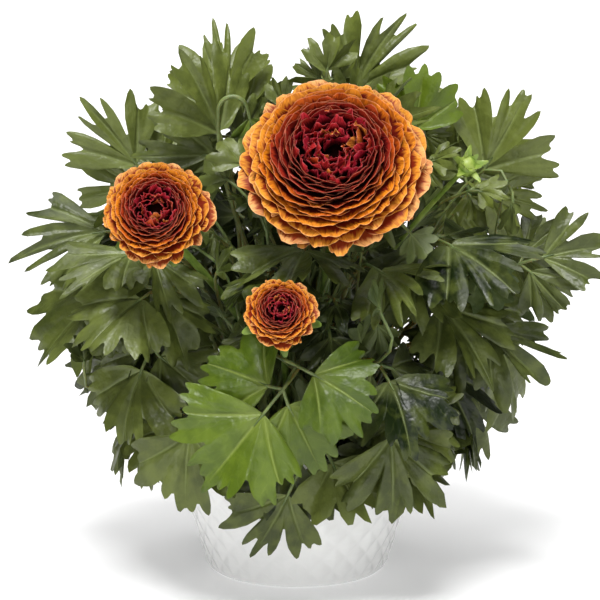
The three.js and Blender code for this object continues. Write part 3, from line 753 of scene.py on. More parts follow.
class Bundle:
    """Gathers meshes that make one piece, with their texture places."""

    def __init__(self):
        self.points, self.faces, self.index, self.plane, self.ribs = [], [], [], [], []
        self.shade = []

    def add(self, points, faces, index, plane=None, ribs=None, shade=0.5):
        first = len(self.points)
        self.points += [tuple(p) for p in points]
        self.faces += [tuple(first + i for i in face) for face in faces]
        self.index += [index] * len(faces) if isinstance(index, int) else list(index)
        empty = [(0.5, 0.0)] * len(points)
        self.plane += list(map(tuple, plane)) if plane is not None else empty
        self.ribs += list(map(tuple, ribs)) if ribs is not None else empty
        self.shade += [shade] * len(points)

    def make(self, name, materials):
        made = make_object(name, self.points, self.faces, materials, index=self.index)
        mesh = made.data
        corners = np.empty(len(mesh.loops), int)
        mesh.loops.foreach_get("vertex_index", corners)
        for label, places in (("plane", self.plane), ("ribs", self.ribs)):
            layer = mesh.uv_layers.new(name=label)
            layer.data.foreach_set("uv", np.array(places)[corners].ravel())
        shade = mesh.attributes.new("shade", "FLOAT", "POINT")
        shade.data.foreach_set("value", self.shade)
        return made


def smooth_step(tree, value, low, high):
    """0 below low, 1 above high, smooth between."""
    node = tree.nodes.new("ShaderNodeMapRange")
    node.interpolation_type = "SMOOTHSTEP"
    node.inputs["From Min"].default_value = low
    node.inputs["From Max"].default_value = high
    tree.links.new(value, node.inputs["Value"])
    return node.outputs["Result"]


def maths(tree, operation, a, b=0.0, c=0.0):
    """One step of arithmetic on numbers or on other nodes' outputs."""
    node = tree.nodes.new("ShaderNodeMath")
    node.operation = operation
    for socket, value in zip(node.inputs, (a, b, c)):
        if isinstance(value, (int, float)):
            socket.default_value = value
        else:
            tree.links.new(value, socket)
    return node.outputs["Value"]


def times(tree, a, b):
    return maths(tree, "MULTIPLY", a, b)


def mixed(tree, share, a, b):
    """Colour a where share is 0 and b where it is 1."""
    node = tree.nodes.new("ShaderNodeMix")
    node.data_type = "RGBA"
    for socket, value in zip((node.inputs[0], node.inputs[6], node.inputs[7]), (share, a, b)):
        if isinstance(value, tuple):
            socket.default_value = (*value, 1)
        elif isinstance(value, float):
            socket.default_value = value
        else:
            tree.links.new(value, socket)
    return node.outputs[2]


def uv_parts(tree, name):
    """The two parts of one of a piece's sets of texture places."""
    node = tree.nodes.new("ShaderNodeUVMap")
    node.uv_map = name
    parts = tree.nodes.new("ShaderNodeSeparateXYZ")
    tree.links.new(node.outputs["UV"], parts.inputs["Vector"])
    return parts.outputs["X"], parts.outputs["Y"]


def attribute(tree, name):
    node = tree.nodes.new("ShaderNodeAttribute")
    node.attribute_name = name
    return node.outputs["Fac"]


def leaf_material(name, dark, light, vein, roughness, vein_strength):
    """Mottled, finely crinkled leaf green, paler along the ribs and towards the leaflet's base."""
    material, tree, shader = new_material(name, dark, roughness, Specular_IOR_Level=0.3)
    along, beside = uv_parts(tree, "ribs")
    width = maths(tree, "MULTIPLY_ADD", along, -0.03, 0.034)
    rib = maths(tree, "SUBTRACT", 1.0, smooth_step(tree, maths(tree, "DIVIDE", beside, width), 0.2, 1.4))
    slant = maths(tree, "SUBTRACT", along, times(tree, beside, 1.5))
    slant = maths(tree, "MULTIPLY_ADD", noise_value(tree, 160.0, 1.0), 0.2, slant)
    branches = maths(tree, "PINGPONG", times(tree, slant, 5.5), 0.5)
    branches = smooth_step(tree, branches, 0.44, 0.5)
    mottle = smooth_step(tree, noise_value(tree, 110.0, 4.0), 0.38, 0.66)
    patches = smooth_step(tree, noise_value(tree, 17.0, 1.0), 0.35, 0.65)
    # shade carries each leaflet's own tone together with its painted light and painted shade.
    shade = attribute(tree, "shade")
    share = maths(tree, "MULTIPLY_ADD", mottle, 0.45, maths(tree, "MULTIPLY_ADD", shade, 0.85, -0.28))
    colour = mixed(tree, share, dark, light)
    grey = tuple(0.85 * c + 0.15 * max(light) for c in light)
    colour = mixed(tree, times(tree, patches, 0.3), colour, grey)
    base = maths(tree, "SUBTRACT", 1.0, smooth_step(tree, along, 0.05, 0.4))
    colour = mixed(tree, times(tree, base, 0.35), colour, vein)
    colour = mixed(tree, times(tree, branches, vein_strength * 0.22), colour, vein)
    colour = mixed(tree, times(tree, rib, vein_strength), colour, vein)
    tree.links.new(colour, shader.inputs["Base Color"])
    crinkle = times(tree, noise_value(tree, 200.0, 2.0), 2.6)
    add_bump(tree, shader, maths(tree, "SUBTRACT", crinkle, rib), 0.0003)
    return material


leaf_top = leaf_material(
    "leaf_upper", (0.005, 0.011, 0.001), (0.105, 0.13, 0.022), (0.19, 0.23, 0.075), 0.38, 0.38
)
leaf_under = leaf_material(
    "leaf_underside", (0.035, 0.055, 0.01), (0.1, 0.125, 0.032), (0.16, 0.2, 0.065), 0.5, 0.6
)
lime_top = leaf_material(
    "leaf_lime_upper", (0.034, 0.062, 0.002), (0.1, 0.15, 0.009), (0.18, 0.23, 0.045), 0.4, 0.6
)
lime_under = leaf_material(
    "leaf_lime_underside", (0.09, 0.14, 0.028), (0.135, 0.19, 0.05), (0.21, 0.27, 0.09), 0.55, 0.6
)
petiole_green, tree, shader = new_material("petiole_green", (0.14, 0.19, 0.065), 0.45)
streak = smooth_step(tree, noise_value(tree, 130.0, 2.0), 0.3, 0.75)
shader.inputs["Subsurface Weight"].default_value = 0.1
tree.links.new(mixed(tree, streak, (0.065, 0.1, 0.02), (0.17, 0.21, 0.065)), shader.inputs["Base Color"])

LEAF_MATERIALS = [leaf_top, leaf_under, petiole_green]
LIME_MATERIALS = [lime_top, lime_under, petiole_green]

# Leaflets get painted light the higher they stand in the first span of heights, and the lower
# they stand in the second. RUN_ON is how far along its blade a stalk runs on, and its radius there.
TOP_LIT_HEIGHTS = (160, 250)
LOW_LIT_HEIGHTS = (120, 70)
SHADED_WITHIN = 0.85
STALK_TIP = 0.8
RUN_ON = [(0.06, 0.62), (0.16, 0.3)]
UNDER_BLADE = 0.55


def clamp(share):
    return min(1, max(0, share))


def share_of_way(value, ends):
    """How far a value is from the first end to the second, from 0 to 1."""
    start, stop = ends
    return clamp((value - start) / (stop - start))


def tint_of(leaflet, shade):
    """A leaflet's green: lighter by painted light high up and low down, darker by painted shade inside."""
    base = leaflet["base"]
    out = np.linalg.norm((base - CANOPY_CENTRE) / CANOPY_SHAPE) / CANOPY_REACH
    # The two height shares add painted light: top light on leaflets high up, front light on those low
    # down.
    young = share_of_way(base[2], TOP_LIT_HEIGHTS)
    low_lit = share_of_way(base[2], LOW_LIT_HEIGHTS)
    tint = shade + (chance(leaflet["seed"] * 1.3) - 0.5) * 0.3 + 0.9 * young + 0.4 * low_lit
    # Leaflets deep inside the dome get painted shade.
    return tint - max(0, SHADED_WITHIN - out)


def add_frond(bundle, frond, shade, rings=RINGS):
    """A leaf's blades, and the stalks that run on along their undersides."""
    for leaflet in frond_leaflets(frond, steps=9):
        bundle.add(*blade_mesh(leaflet, rings), tint_of(leaflet, shade))
        stalk = leaflet["stalk"]
        thick = PETIOLE_WIDTH / 2 if len(stalk) > 2 else STALK_WIDTH / 2
        thick *= min(1, frond["size"] + 0.1)
        radii = [thick - (thick - STALK_TIP) * i / (len(stalk) - 1) for i in range(len(stalk))]
        points = list(stalk)
        for share, radius in RUN_ON:
            along = leaflet["midrib"] * leaflet["length"] * share
            points.append(stalk[-1] + along - leaflet["normal"] * UNDER_BLADE)
            radii.append(radius)
        bundle.add(*tube(points, radii), 2)


# The crown's places are given out in the source's order: blooms, bud and hooked leaf first.
BLOOMS = {
    "large": {"centre": (18, -90, 221), "radius": 45, "axis": (-0.04, -0.81, 0.59), "stem": 4.6},
    "medium": {"centre": (-66, -100, 200), "radius": 26, "axis": (-0.06, -0.89, 0.45), "stem": 3.8},
    "small": {"centre": (-7.5, -124, 157), "radius": 17.6, "axis": (0, -0.86, 0.5), "stem": 3.2},
}
for bloom in BLOOMS.values():
    x, y, _ = bloom["centre"]
    bloom["root"] = take_crown_place(unit([x, y * 0.7, 60]))
BUD = {"centre": (82, -52, 214), "radius": 7, "axis": (0.35, -0.75, 0.55), "stem": 2.6}
BUD["root"] = take_crown_place(unit([82, -52, 140]))
HOOK_TOP = np.array([-38, -44, 240.0])
hook_root = take_crown_place(unit([HOOK_TOP[0], HOOK_TOP[1], 140]))

LIME_LEAVES = ("leaf_front_2", "leaf_front_3", "leaf_front_4")
solids = []
fronds = []
for i, row in enumerate(LEAVES_IN_FRONT):
    root = take_crown_place(unit([row[0][0], row[0][1], 60]))
    fronds.append((f"leaf_front_{i + 1}", list(front_plans(row, i, root))))
for i in range(FRONDS_BY_RULE):
    row = rule_row(i)
    row["root"] = take_crown_place(row["way"])
    fronds.append((f"leaf_{i + 1:02d}", [plan_frond(row, i, k) for k in range(ATTEMPTS)]))
for number, (node, plans) in enumerate(fronds):
    frond = best_plan(node, plans)
    bundle = Bundle()
    add_frond(bundle, frond, 0.85 * chance(number * 7.7) + 0.18)
    materials = LIME_MATERIALS if node in LIME_LEAVES else LEAF_MATERIALS
    piece = bundle.make(f"{node}_fine", materials)
    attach(piece, "root")
    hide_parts(node)
    solids.append(BVHTree.FromPolygons(bundle.points, bundle.faces))


# Blooms
# Fully double flowers: a close spiral of thin overlapping petals on a low receptacle, flat and
# golden outside, upright and burgundy towards the middle. Each petal is scalloped and streaked along
# its length, redder and darkened by painted shade towards its covered base, and edged with a thin
# painted highlight.
DOME_RISE = 0.6
OUTER_LEAN = 80
INNER_LEAN = 16
CORE_BASE = -0.24
CORE_TOP = 0.22
INNERMOST_RIM = 0.4
WIDEST_RIM = 1.06
STRAY_PETALS = 13
CORE_HOLE = 0.001
CORE_STEPS = 32


def bloom_frame(bloom):
    """The bloom with its axis and the two directions across it."""
    axis = unit(bloom["axis"])
    top = square(UP, axis)
    return {**bloom, "axis": axis, "top": top, "side": np.cross(top, axis)}


def in_bloom(b, places):
    """From shares of the bloom's radius to the plant's own millimetres."""
    places = np.asarray(places, float) * b["radius"]
    turned = np.stack([b["side"], b["top"], b["axis"]])
    return np.array(b["centre"], float) + places @ turned


def dome_height(rim):
    """How high the dome of tips stands at a distance from the axis."""
    return DOME_RISE * (1 - min(rim, 1) ** 2) ** 0.8


PETAL_ACROSS = 11
PETAL_ALONG = 8
PETAL_BENDS = 24
PETAL_SHEET = 0.16
PETAL_THICKENING = 0.1
PETAL_CUP = 0.42
TIP_ROUNDING = 0.22
SCALLOP = 0.035
NIBBLE = 0.012


def petal_mesh(b, rim, height, lean, bend, angle, length, width, seed, tip=0.0, twist=0.08, ruffle=0.016):
    """A thin petal whose tip stands at rim and height, in shares of the bloom's radius."""
    across = np.linspace(-1, 1, PETAL_ACROSS)
    along = np.linspace(0, 1, PETAL_ALONG)
    a, s = np.meshgrid(across, along)
    swell = np.sin(np.pi * np.clip(s, 0, 1) ** 1.15 * 0.62 + 0.42)
    swell = swell / swell.max()
    edge = s - (TIP_ROUNDING + tip) * np.abs(a) ** 2.4 * s**2
    edge = edge + SCALLOP * np.sin(a * 4 + seed * 5) * s**4 + NIBBLE * np.sin(a * 13 + seed) * s**6
    sideways = a * swell * width / 2
    # From the tip down to the base, the lean changing on the way.
    t = np.linspace(1, 0, PETAL_BENDS)
    turn = lean + bend * (t - 0.5)
    outs = np.concatenate([[0], np.cumsum(-np.sin(turn[:-1]) * length / (PETAL_BENDS - 1))])
    ups = np.concatenate([[0], np.cumsum(-np.cos(turn[:-1]) * length / (PETAL_BENDS - 1))])
    out = rim + np.interp(edge, t[::-1], outs[::-1])
    rise = height + np.interp(edge, t[::-1], ups[::-1])
    lean_here = np.interp(edge, t[::-1], turn[::-1])
    wave = ruffle * (np.sin(a * 3.4 + seed * 7) * s**3 + 0.5 * np.sin(a * 8 + seed * 3) * s**5)
    cup = PETAL_CUP * np.cos(lean_here) * sideways**2 / max(rim, 0.12) + wave + twist * sideways
    half = (PETAL_SHEET + PETAL_THICKENING * (1 - s)) / b["radius"]
    half[-1] *= 0.4
    ca, sa = math.cos(angle), math.sin(angle)
    layers = []
    for sign in (1, -1):
        shift = cup + sign * half
        radial = out - np.cos(lean_here) * shift
        up = rise + np.sin(lean_here) * shift
        x = radial * ca - sideways * sa
        y = radial * sa + sideways * ca
        layers.append(np.stack([x, y, up], axis=-1).reshape(-1, 3))
    points = in_bloom(b, np.concatenate(layers))
    n, m = PETAL_ACROSS, PETAL_ALONG
    border = [k * n for k in range(m)] + [(m - 1) * n + i for i in range(1, n)]
    border += [k * n + n - 1 for k in range(m - 2, -1, -1)]
    faces = sheet_faces(m, n) + rim_faces(border, m * n)
    places = np.stack([(a + 1) / 2, s], axis=-1).reshape(-1, 2)
    return points, faces, np.tile(places, (2, 1))


def colour_ramp(tree, value, stops):
    """A colour that runs through the stops as the value goes from 0 to 1."""
    node = tree.nodes.new("ShaderNodeValToRGB")
    while len(node.color_ramp.elements) < len(stops):
        node.color_ramp.elements.new(0.5)
    for element, (place, colour) in zip(node.color_ramp.elements, stops):
        element.position = place
        element.color = (*colour, 1)
    tree.links.new(value, node.inputs["Fac"])
    return node.outputs["Color"]


# Petal colours by depth, from 0 at the bloom's edge to 1 in its middle. In the heart each petal
# draws its own depth. The base colours are redder and also carry painted shade, darkest deep in,
# where each petal lies under the next.
OUTER_TIPS = [
    (0.0, (0.7, 0.34, 0.11)),
    (0.12, (0.7, 0.29, 0.03)),
    (0.38, (0.65, 0.2, 0.008)),
    (0.54, (0.46, 0.075, 0.006)),
    (0.68, (0.32, 0.022, 0.01)),
    (1.0, (0.21, 0.006, 0.012)),
]
OUTER_SHADED_BASES = [
    (0.0, (0.24, 0.035, 0.008)),
    (0.2, (0.18, 0.015, 0.003)),
    (0.45, (0.11, 0.006, 0.003)),
    (0.65, (0.06, 0.002, 0.003)),
    (1.0, (0.025, 0.001, 0.002)),
]
HEART_TIPS = [
    (0.0, (0.58, 0.22, 0.03)),
    (0.14, (0.5, 0.09, 0.018)),
    (0.26, (0.36, 0.016, 0.012)),
    (0.7, (0.46, 0.024, 0.03)),
    (1.0, (0.36, 0.013, 0.03)),
]
HEART_SHADED_BASES = [
    (0.0, (0.17, 0.012, 0.007)),
    (0.5, (0.07, 0.002, 0.004)),
    (1.0, (0.04, 0.001, 0.003)),
]


def petal_material(name, tip_stops, shaded_base_stops, edge_highlight_colour, low, high):
    """Golden tips over redder bases darkened with painted shade, the redder the further in, streaked, with
    a painted highlight along the edges.
    """
    material, tree, shader = new_material(name, (0.8, 0.4, 0.1), 0.5, Specular_IOR_Level=0.12)
    shader.inputs["Subsurface Weight"].default_value = 0.08
    shader.inputs["Subsurface Scale"].default_value = 0.001
    across, along = uv_parts(tree, "plane")
    depth = attribute(tree, "shade")
    join = tree.nodes.new("ShaderNodeCombineXYZ")
    tree.links.new(times(tree, across, 13.0), join.inputs["X"])
    tree.links.new(times(tree, along, 1.6), join.inputs["Y"])
    tree.links.new(times(tree, depth, 900.0), join.inputs["Z"])
    streaks = noise_value(tree, 1.0, 3.0, join.outputs["Vector"])
    reach = maths(tree, "ADD", along, maths(tree, "MULTIPLY_ADD", streaks, 0.55, -0.29))
    tips = colour_ramp(tree, depth, tip_stops)
    shaded_bases = colour_ramp(tree, depth, shaded_base_stops)
    # Towards its covered base each petal takes the base colour, which holds painted shade.
    colour = mixed(tree, smooth_step(tree, reach, low, high), shaded_bases, tips)
    fine = smooth_step(tree, streaks, 0.5, 0.62)
    colour = mixed(tree, times(tree, fine, 0.5), colour, shaded_bases)
    # A thin painted highlight along the petal's sides and tip, fainter deeper in.
    edge_highlight_across = maths(tree, "ABSOLUTE", maths(tree, "SUBTRACT", across, 0.5))
    edge_highlight_across = smooth_step(tree, edge_highlight_across, 0.465, 0.495)
    edge_highlight_across = times(tree, edge_highlight_across, smooth_step(tree, along, 0.6, 0.9))
    rim = maths(tree, "MAXIMUM", smooth_step(tree, along, 0.97, 0.995), edge_highlight_across)
    rim = times(tree, rim, maths(tree, "MULTIPLY_ADD", depth, -0.55, 0.85))
    colour = mixed(tree, rim, colour, mixed(tree, 0.5, tips, edge_highlight_colour))
    tree.links.new(colour, shader.inputs["Base Color"])
    add_bump(tree, shader, streaks, 0.0003)
    return material


# A near-black painted shadow for the floor of each bloom's hole.
hole_shadow, _, _ = new_material("hole_shadow", (0.006, 0.001, 0.001), 0.9, Specular_IOR_Level=0.0)
# The third colour is the painted highlight on each petal's edge.
petal_colour = petal_material("petal_orange", OUTER_TIPS, OUTER_SHADED_BASES, (0.78, 0.42, 0.24), 0.74, 0.92)
heart_colour = petal_material("petal_burgundy", HEART_TIPS, HEART_SHADED_BASES, (0.8, 0.28, 0.28), 0.45, 0.85)


def core_mesh(b, profile):
    """A turned body on the bloom's axis."""
    points, faces = lathe(profile, CORE_STEPS)
    return in_bloom(b, points), faces


def draws(first, step, count):
    """Repeatable draws between -0.5 and 0.5."""
    return [chance(first + j * step) - 0.5 for j in range(count)]


def bloom_petals(b, count, seed):
    """The receptacle, the spiral of outer petals on it and a few short ones round its edge."""
    bundle = Bundle()
    profile = [(CORE_HOLE, CORE_BASE), (0.26, CORE_BASE), (0.66, -0.1), (0.6, -0.02), (0.48, 0.06)]
    profile += [(0.34, CORE_TOP), (CORE_HOLE, CORE_TOP)]
    bundle.add(*core_mesh(b, profile), 0, shade=0.62)
    for i in range(count):
        t = i / (count - 1)
        draw = draws(seed + i * 2.7, 1.3, 5)
        rim = WIDEST_RIM - (WIDEST_RIM - INNERMOST_RIM) * t**0.95
        lean = math.radians(OUTER_LEAN + (INNER_LEAN - OUTER_LEAN) * t**0.8)
        points, faces, places = petal_mesh(
            b,
            rim=rim * (1 + draw[0] * 0.07),
            height=dome_height(rim) + draw[1] * 0.05,
            lean=lean + draw[2] * 0.2,
            bend=math.radians(34 - 44 * t),
            angle=i * GOLDEN_ANGLE,
            length=0.46,
            width=(0.48 + 0.1 * t) * (1 + draw[3] * 0.9),
            seed=seed + i,
        )
        bundle.add(points, faces, 0, places, shade=clamp(t * 0.9 + draw[4] * 0.2))
    for i in range(STRAY_PETALS):
        draw = draws(seed + i * 5.9, 2.3, 5)
        rim = 0.96 + draw[0] * 0.16
        points, faces, places = petal_mesh(
            b,
            rim=rim,
            height=dome_height(rim) - 0.04 + draw[1] * 0.06,
            lean=math.radians(66 + draw[2] * 30),
            bend=math.radians(30),
            angle=i / STRAY_PETALS * 2 * math.pi + draw[3],
            length=0.4,
            width=0.2 + 0.1 * draw[4],
            seed=seed + 300 + i,
        )
        bundle.add(points, faces, 0, places, shade=0.02 + 0.1 * chance(i * 2.2))
    return bundle


def bloom_heart(b, count, seed):
    """The ragged inner petals round a hole whose floor is painted near-black as shadow."""
    bundle = Bundle()
    foot = CORE_TOP + GAP / b["radius"]
    core = [(CORE_HOLE, foot), (0.3, foot), (0.3, foot + 0.06), (CORE_HOLE, foot + 0.06)]
    # This disc at the bottom of the hole is painted shadow.
    bundle.add(*core_mesh(b, core), 1)
    for i in range(count):
        t = i / (count - 1)
        draw = draws(seed + i * 3.7, 1.9, 6)
        rim = 0.43 - 0.31 * t**0.9
        height = 0.56 + draw[0] * 0.14 - 0.1 * t
        points, faces, places = petal_mesh(
            b,
            rim=rim * (1 + draw[1] * 0.2),
            height=height,
            lean=math.radians(10 - 18 * t + draw[2] * 40),
            bend=math.radians(-20 + draw[3] * 80),
            angle=i * GOLDEN_ANGLE + draw[4] * 0.4,
            length=height - foot + 0.03,
            width=0.22 + 0.16 * draw[5],
            seed=seed + i,
            tip=0.12,
            twist=draw[2] * 0.8,
            ruffle=0.03,
        )
        bundle.add(points, faces, 0, places, shade=clamp(0.55 + draw[3] * 1.1))
    return bundle


PETALS = {"large": (150, 70), "medium": (112, 46), "small": (84, 32)}
for number, (name, bloom) in enumerate(BLOOMS.items()):
    b = bloom_frame(bloom)
    outer, inner = PETALS[name]
    for part, bundle, colour in (
        ("petals", bloom_petals(b, outer, 11 + number), [petal_colour]),
        ("heart", bloom_heart(b, inner, 47 + number), [heart_colour, hole_shadow]),
    ):
        piece = bundle.make(f"bloom_{name}_{part}_fine", colour)
        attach(piece, "root")
        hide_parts(f"bloom_{name}_{part}")
        solids.append(BVHTree.FromPolygons(bundle.points, bundle.faces))


# Bloom stems
# Stout green stems, faintly streaked along their length. Each is grown in one with the cup and the
# five green sepals that carry its flower.
SEPALS = 5
stem_green, tree, shader = new_material("stem_green", (0.2, 0.3, 0.08), 0.5, Specular_IOR_Level=0.3)
streak = smooth_step(tree, noise_value(tree, 160.0, 2.0), 0.3, 0.7)
tree.links.new(mixed(tree, streak, (0.075, 0.13, 0.015), (0.15, 0.22, 0.035)), shader.inputs["Base Color"])
for number, (name, bloom) in enumerate(BLOOMS.items()):
    b = bloom_frame(bloom)
    seat = CORE_BASE - GAP / b["radius"]
    bundle = Bundle()
    cup = [(CORE_HOLE, seat - 0.18), (0.13, seat - 0.15), (0.22, seat - 0.04), (0.24, seat)]
    bundle.add(*core_mesh(b, [*cup, (CORE_HOLE, seat)]), 0)
    top = in_bloom(b, [[0, 0, seat - 0.06]])[0]
    points = route(b["root"], top, b["axis"], 16)
    bundle.add(*tube(points, [b["stem"] / 2] * len(points), 12), 0)
    out = 0.78 + 0.17 * number
    for i in range(SEPALS):
        sepal, faces, _ = petal_mesh(
            b,
            rim=out,
            height=seat - 0.12,
            lean=math.radians(94),
            bend=math.radians(40),
            angle=i / SEPALS * 2 * math.pi + 0.3 + number,
            length=out - 0.12,
            width=0.5,
            seed=i + number,
            tip=0.2,
            twist=0.0,
        )
        bundle.add(sepal, faces, 0)
    piece = bundle.make(f"bloom_{name}_stem_fine", [stem_green])
    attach(piece, "root")
    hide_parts(f"bloom_{name}_stem")
    solids.append(BVHTree.FromPolygons(bundle.points, bundle.faces))


# Bud and hooked young leaf
# A closed lime-green bud in pointed bracts on a bent stalk, and a young leaf whose stalk has
# risen past the canopy and curled over, with its small blade still folded.
BALL_LEVELS = 12
BALL_WIDTH = 0.72
BALL_HEIGHT = 0.75
BRACTS = 10
b = bloom_frame(BUD)
bundle = Bundle()
ball = [(CORE_HOLE, -BALL_HEIGHT)]
for k in range(1, BALL_LEVELS):
    z = -math.cos(math.pi * k / BALL_LEVELS)
    ball.append((BALL_WIDTH * math.sqrt(1 - z * z), z * BALL_HEIGHT))
bundle.add(*core_mesh(b, [*ball, (CORE_HOLE, BALL_HEIGHT)]), 0)
for i in range(BRACTS):
    inner = i % 2
    bract, faces, _ = petal_mesh(
        b,
        rim=1.5 - 0.7 * inner,
        height=0.5 + 0.45 * inner,
        lean=math.radians(62 - 34 * inner),
        bend=math.radians(30),
        angle=i / BRACTS * 2 * math.pi,
        length=1.5 - 0.2 * inner,
        width=0.7,
        seed=i,
        tip=0.5,
        ruffle=0.06,
    )
    bundle.add(bract, faces, 0)
points = route(b["root"], in_bloom(b, [[0, 0, -0.5]])[0], b["axis"], 16)
bundle.add(*tube(points, [b["stem"] / 2] * len(points), 10), 0)
bud_green, tree, shader = new_material("bud_green", (0.3, 0.42, 0.07), 0.45)
tint = smooth_step(tree, noise_value(tree, 200.0, 2.0), 0.3, 0.7)
tree.links.new(mixed(tree, tint, (0.15, 0.24, 0.03), (0.27, 0.35, 0.06)), shader.inputs["Base Color"])
piece = bundle.make("bud_fine", [bud_green])
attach(piece, "root")
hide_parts("bud")
solids.append(BVHTree.FromPolygons(bundle.points, bundle.faces))

HOOK_BEND = 7
HOOK_TURN = math.radians(170)
HOOK_STEPS = 9
bundle = Bundle()
points = route(hook_root, HOOK_TOP, np.array([0.05, 0, 1]), 16)
for k in range(1, HOOK_STEPS + 1):
    a = HOOK_TURN * k / HOOK_STEPS
    points.append(HOOK_TOP + np.array([HOOK_BEND * (1 - math.cos(a)), 0, HOOK_BEND * math.sin(a)]))
midrib = unit([0.25, -0.1, -0.96])
base = points[-1] + midrib * 5
points += [base, base + midrib * 5]
radii = [1.1] * (len(points) - 3) + [0.9, 0.7, 0.35]
bundle.add(*tube(points, radii, 8), 2)
normal = square([0.3, -1, 0.2], midrib)
young = {
    "kind": "cut",
    "droop": 0.1,
    "spread": 0.5,
    "base": base,
    "midrib": midrib,
    "normal": normal,
    "across": np.cross(normal, midrib),
    "length": 17,
    "seed": 77,
}
bundle.add(*blade_mesh(young), 0.4)
piece = bundle.make("leaf_hooked_fine", LIME_MATERIALS)
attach(piece, "root")
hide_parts("leaf_hooked")
solids.append(BVHTree.FromPolygons(bundle.points, bundle.faces))


# Inner and smaller leaves
# The rest of the foliage: thin young leaves, each on its own stalk from the crown. Some hang over
# the rim, most stand between the large ones, and the last where light still shows through. A leaf
# is kept only where its blades, as plain fans, hide no bloom and cross no other piece.
LOOK_DOWN = 0.213
TO_THE_FRONT = unit([0, -0.978, 0.208])
GROUPS = 10
TRIES = 4500
MOST_SMALL_LEAVES = 140
RIM_TRIES = 400
GAPS_UNTIL = TRIES * 0.7
LOWEST_LEAF = 20
POT_ROOM = POT_RIM + 4
GAP_LINES = 6
GAP_STEP = 4.5
GAP_STEPS = 21
GAP_TRIES = 16
GAP_DEPTH = 11
GAP_LOWEST_LEAF = 76
SIGHT_LENGTH = 520
OUTWARD_PAST = 75
WIDEST_LOOP = 80


def hides_a_bloom(places):
    """Whether any of the places stands before a bloom, seen from the front."""
    for bloom in BLOOMS.values():
        away = places - np.array(bloom["centre"], float)
        ahead = away @ TO_THE_FRONT
        beside = np.linalg.norm(away - ahead[:, None] * TO_THE_FRONT, axis=1)
        if np.any((ahead > -4) & (beside < bloom["radius"] * 1.02)):
            return True
    return False


def filler_frond(n):
    """A small leaf somewhere inside the dome."""
    draw = [chance(n * 3.3 + j * 17.9 + 0.5) for j in range(12)]
    z = 0.98 - 1.78 * draw[0]
    r = math.sqrt(1 - z * z)
    turn = draw[1] * 2 * math.pi
    size = 0.36 + 0.36 * draw[2]
    east, south = r * math.sin(turn), -r * math.cos(turn)
    row = {
        "way": (east, south, z),
        "kind": "broad" if z < 0.1 and draw[3] < 0.5 else "cut" if draw[3] < 0.75 else "lacy",
        "size": size,
        "depth": 6 + 84 * draw[4] ** 1.2,
        "hang": draw[5] * 0.4 - 0.2,
        "droop": 0.15 + draw[6] * 0.3,
        "root": (22 * (draw[7] - 0.5) + 8 * east, 22 * (draw[8] - 0.5) + 8 * south),
    }
    return plan_frond(row, 200 + n, 6)


def rim_frond(n):
    """A small leaf that hangs out over the pot's rim."""
    draw = [chance(n * 5.7 + j * 13.1 + 0.2) for j in range(8)]
    turn = n * GOLDEN_ANGLE
    out = np.array([math.sin(turn), -math.cos(turn), 0])
    side = np.array([-out[1], out[0], 0])
    midrib = unit(out * (0.2 + 0.4 * draw[0]) + side * (1.3 * draw[1] - 0.65) - UP * 0.7)
    return {
        "root": (22 * out[0] + 8 * draw[6], 22 * out[1] + 8 * draw[7]),
        "fork": out * (66 + 14 * draw[2]) + UP * (74 + 26 * draw[3]),
        "midrib": midrib,
        "normal": square(out + UP * 0.4, midrib),
        "size": 0.5 + 0.26 * draw[4],
        "kind": "broad",
        "simple": draw[5] < 0.7,
        "seed": 900 + n,
        "droop": 0.25,
    }


def main_stalk(frond, steps):
    """The stalk from the crown to the frond's middle leaflet, or to its only one."""
    return frond_leaflets(frond, steps=steps)[-1 if frond.get("simple") else 1]["stalk"]


def over_the_rim(frond):
    """Whether the leaf's stalk passes above the rim, not through it."""
    places = np.array(main_stalk(frond, 8))
    out = np.hypot(places[:, 0], places[:, 1])
    return not np.any((out > POT_RIM - 8) & (out < POT_RIM + 3) & (places[:, 2] < POT_HEIGHT + 2))


def coarse_blades(frond):
    """The frond's leaflets as plain fans, to test for crossings."""
    points, faces = [], []
    for leaflet in frond_leaflets(frond):
        u, v = leaflet_outline(leaflet).T
        n = len(u)
        first = len(points)
        points.append(tuple(leaflet["base"]))
        for part in (0.5, 1):
            a, b = u * part, v * part
            points += [tuple(p) for p in leaflet_place(leaflet, a, b, leaflet_height(leaflet, a, b))]
        for i in range(n - 1):
            faces.append((first, first + 1 + i, first + 2 + i))
            faces.append((first + 1 + i, first + 1 + n + i, first + 2 + n + i, first + 2 + i))
    return points, faces


def stalk_is_clear(frond):
    """Whether a leaf's stalk reaches its blade through no other piece, without a loop outside."""
    points = main_stalk(frond, 6)
    out = [math.hypot(p[0], p[1]) for p in points]
    if max(out) > max(WIDEST_LOOP, out[-1] + 4):
        return False
    points = [Vector(p) for p in points]
    for a, b in zip(points[1:], points[2:]):
        way = b - a
        for solid in solids:
            if solid.ray_cast(a, way, way.length)[0] is not None:
                return False
    return True


def has_room(blades, frond):
    """Whether the blades cross no piece so far and their stalk is clear."""
    return not any(blades.overlap(other) for other in solids) and stalk_is_clear(frond)


def in_a_gap(place):
    """Whether some nearly level line through a place meets no piece on either side of it."""
    for k in range(GAP_LINES):
        a = math.pi * k / GAP_LINES + 0.5 * math.pi
        way = Vector((math.cos(a), math.sin(a), 0.1))
        start = Vector(place)
        if not any(s.ray_cast(start, way)[0] or s.ray_cast(start, -way)[0] for s in solids):
            return True
    return False


def keep_small_leaf(frond, blades, n):
    """Adds the leaf to the group of its direction from the middle of the dome."""
    solids.append(blades)
    way = frond["fork"] - CANOPY_CENTRE
    group = int((math.atan2(way[1], way[0]) / (2 * math.pi) + 0.5) * GROUPS) % GROUPS
    add_frond(bundles[group], frond, 0.1 + 0.8 * chance(n * 5.1), SMALL_RINGS)


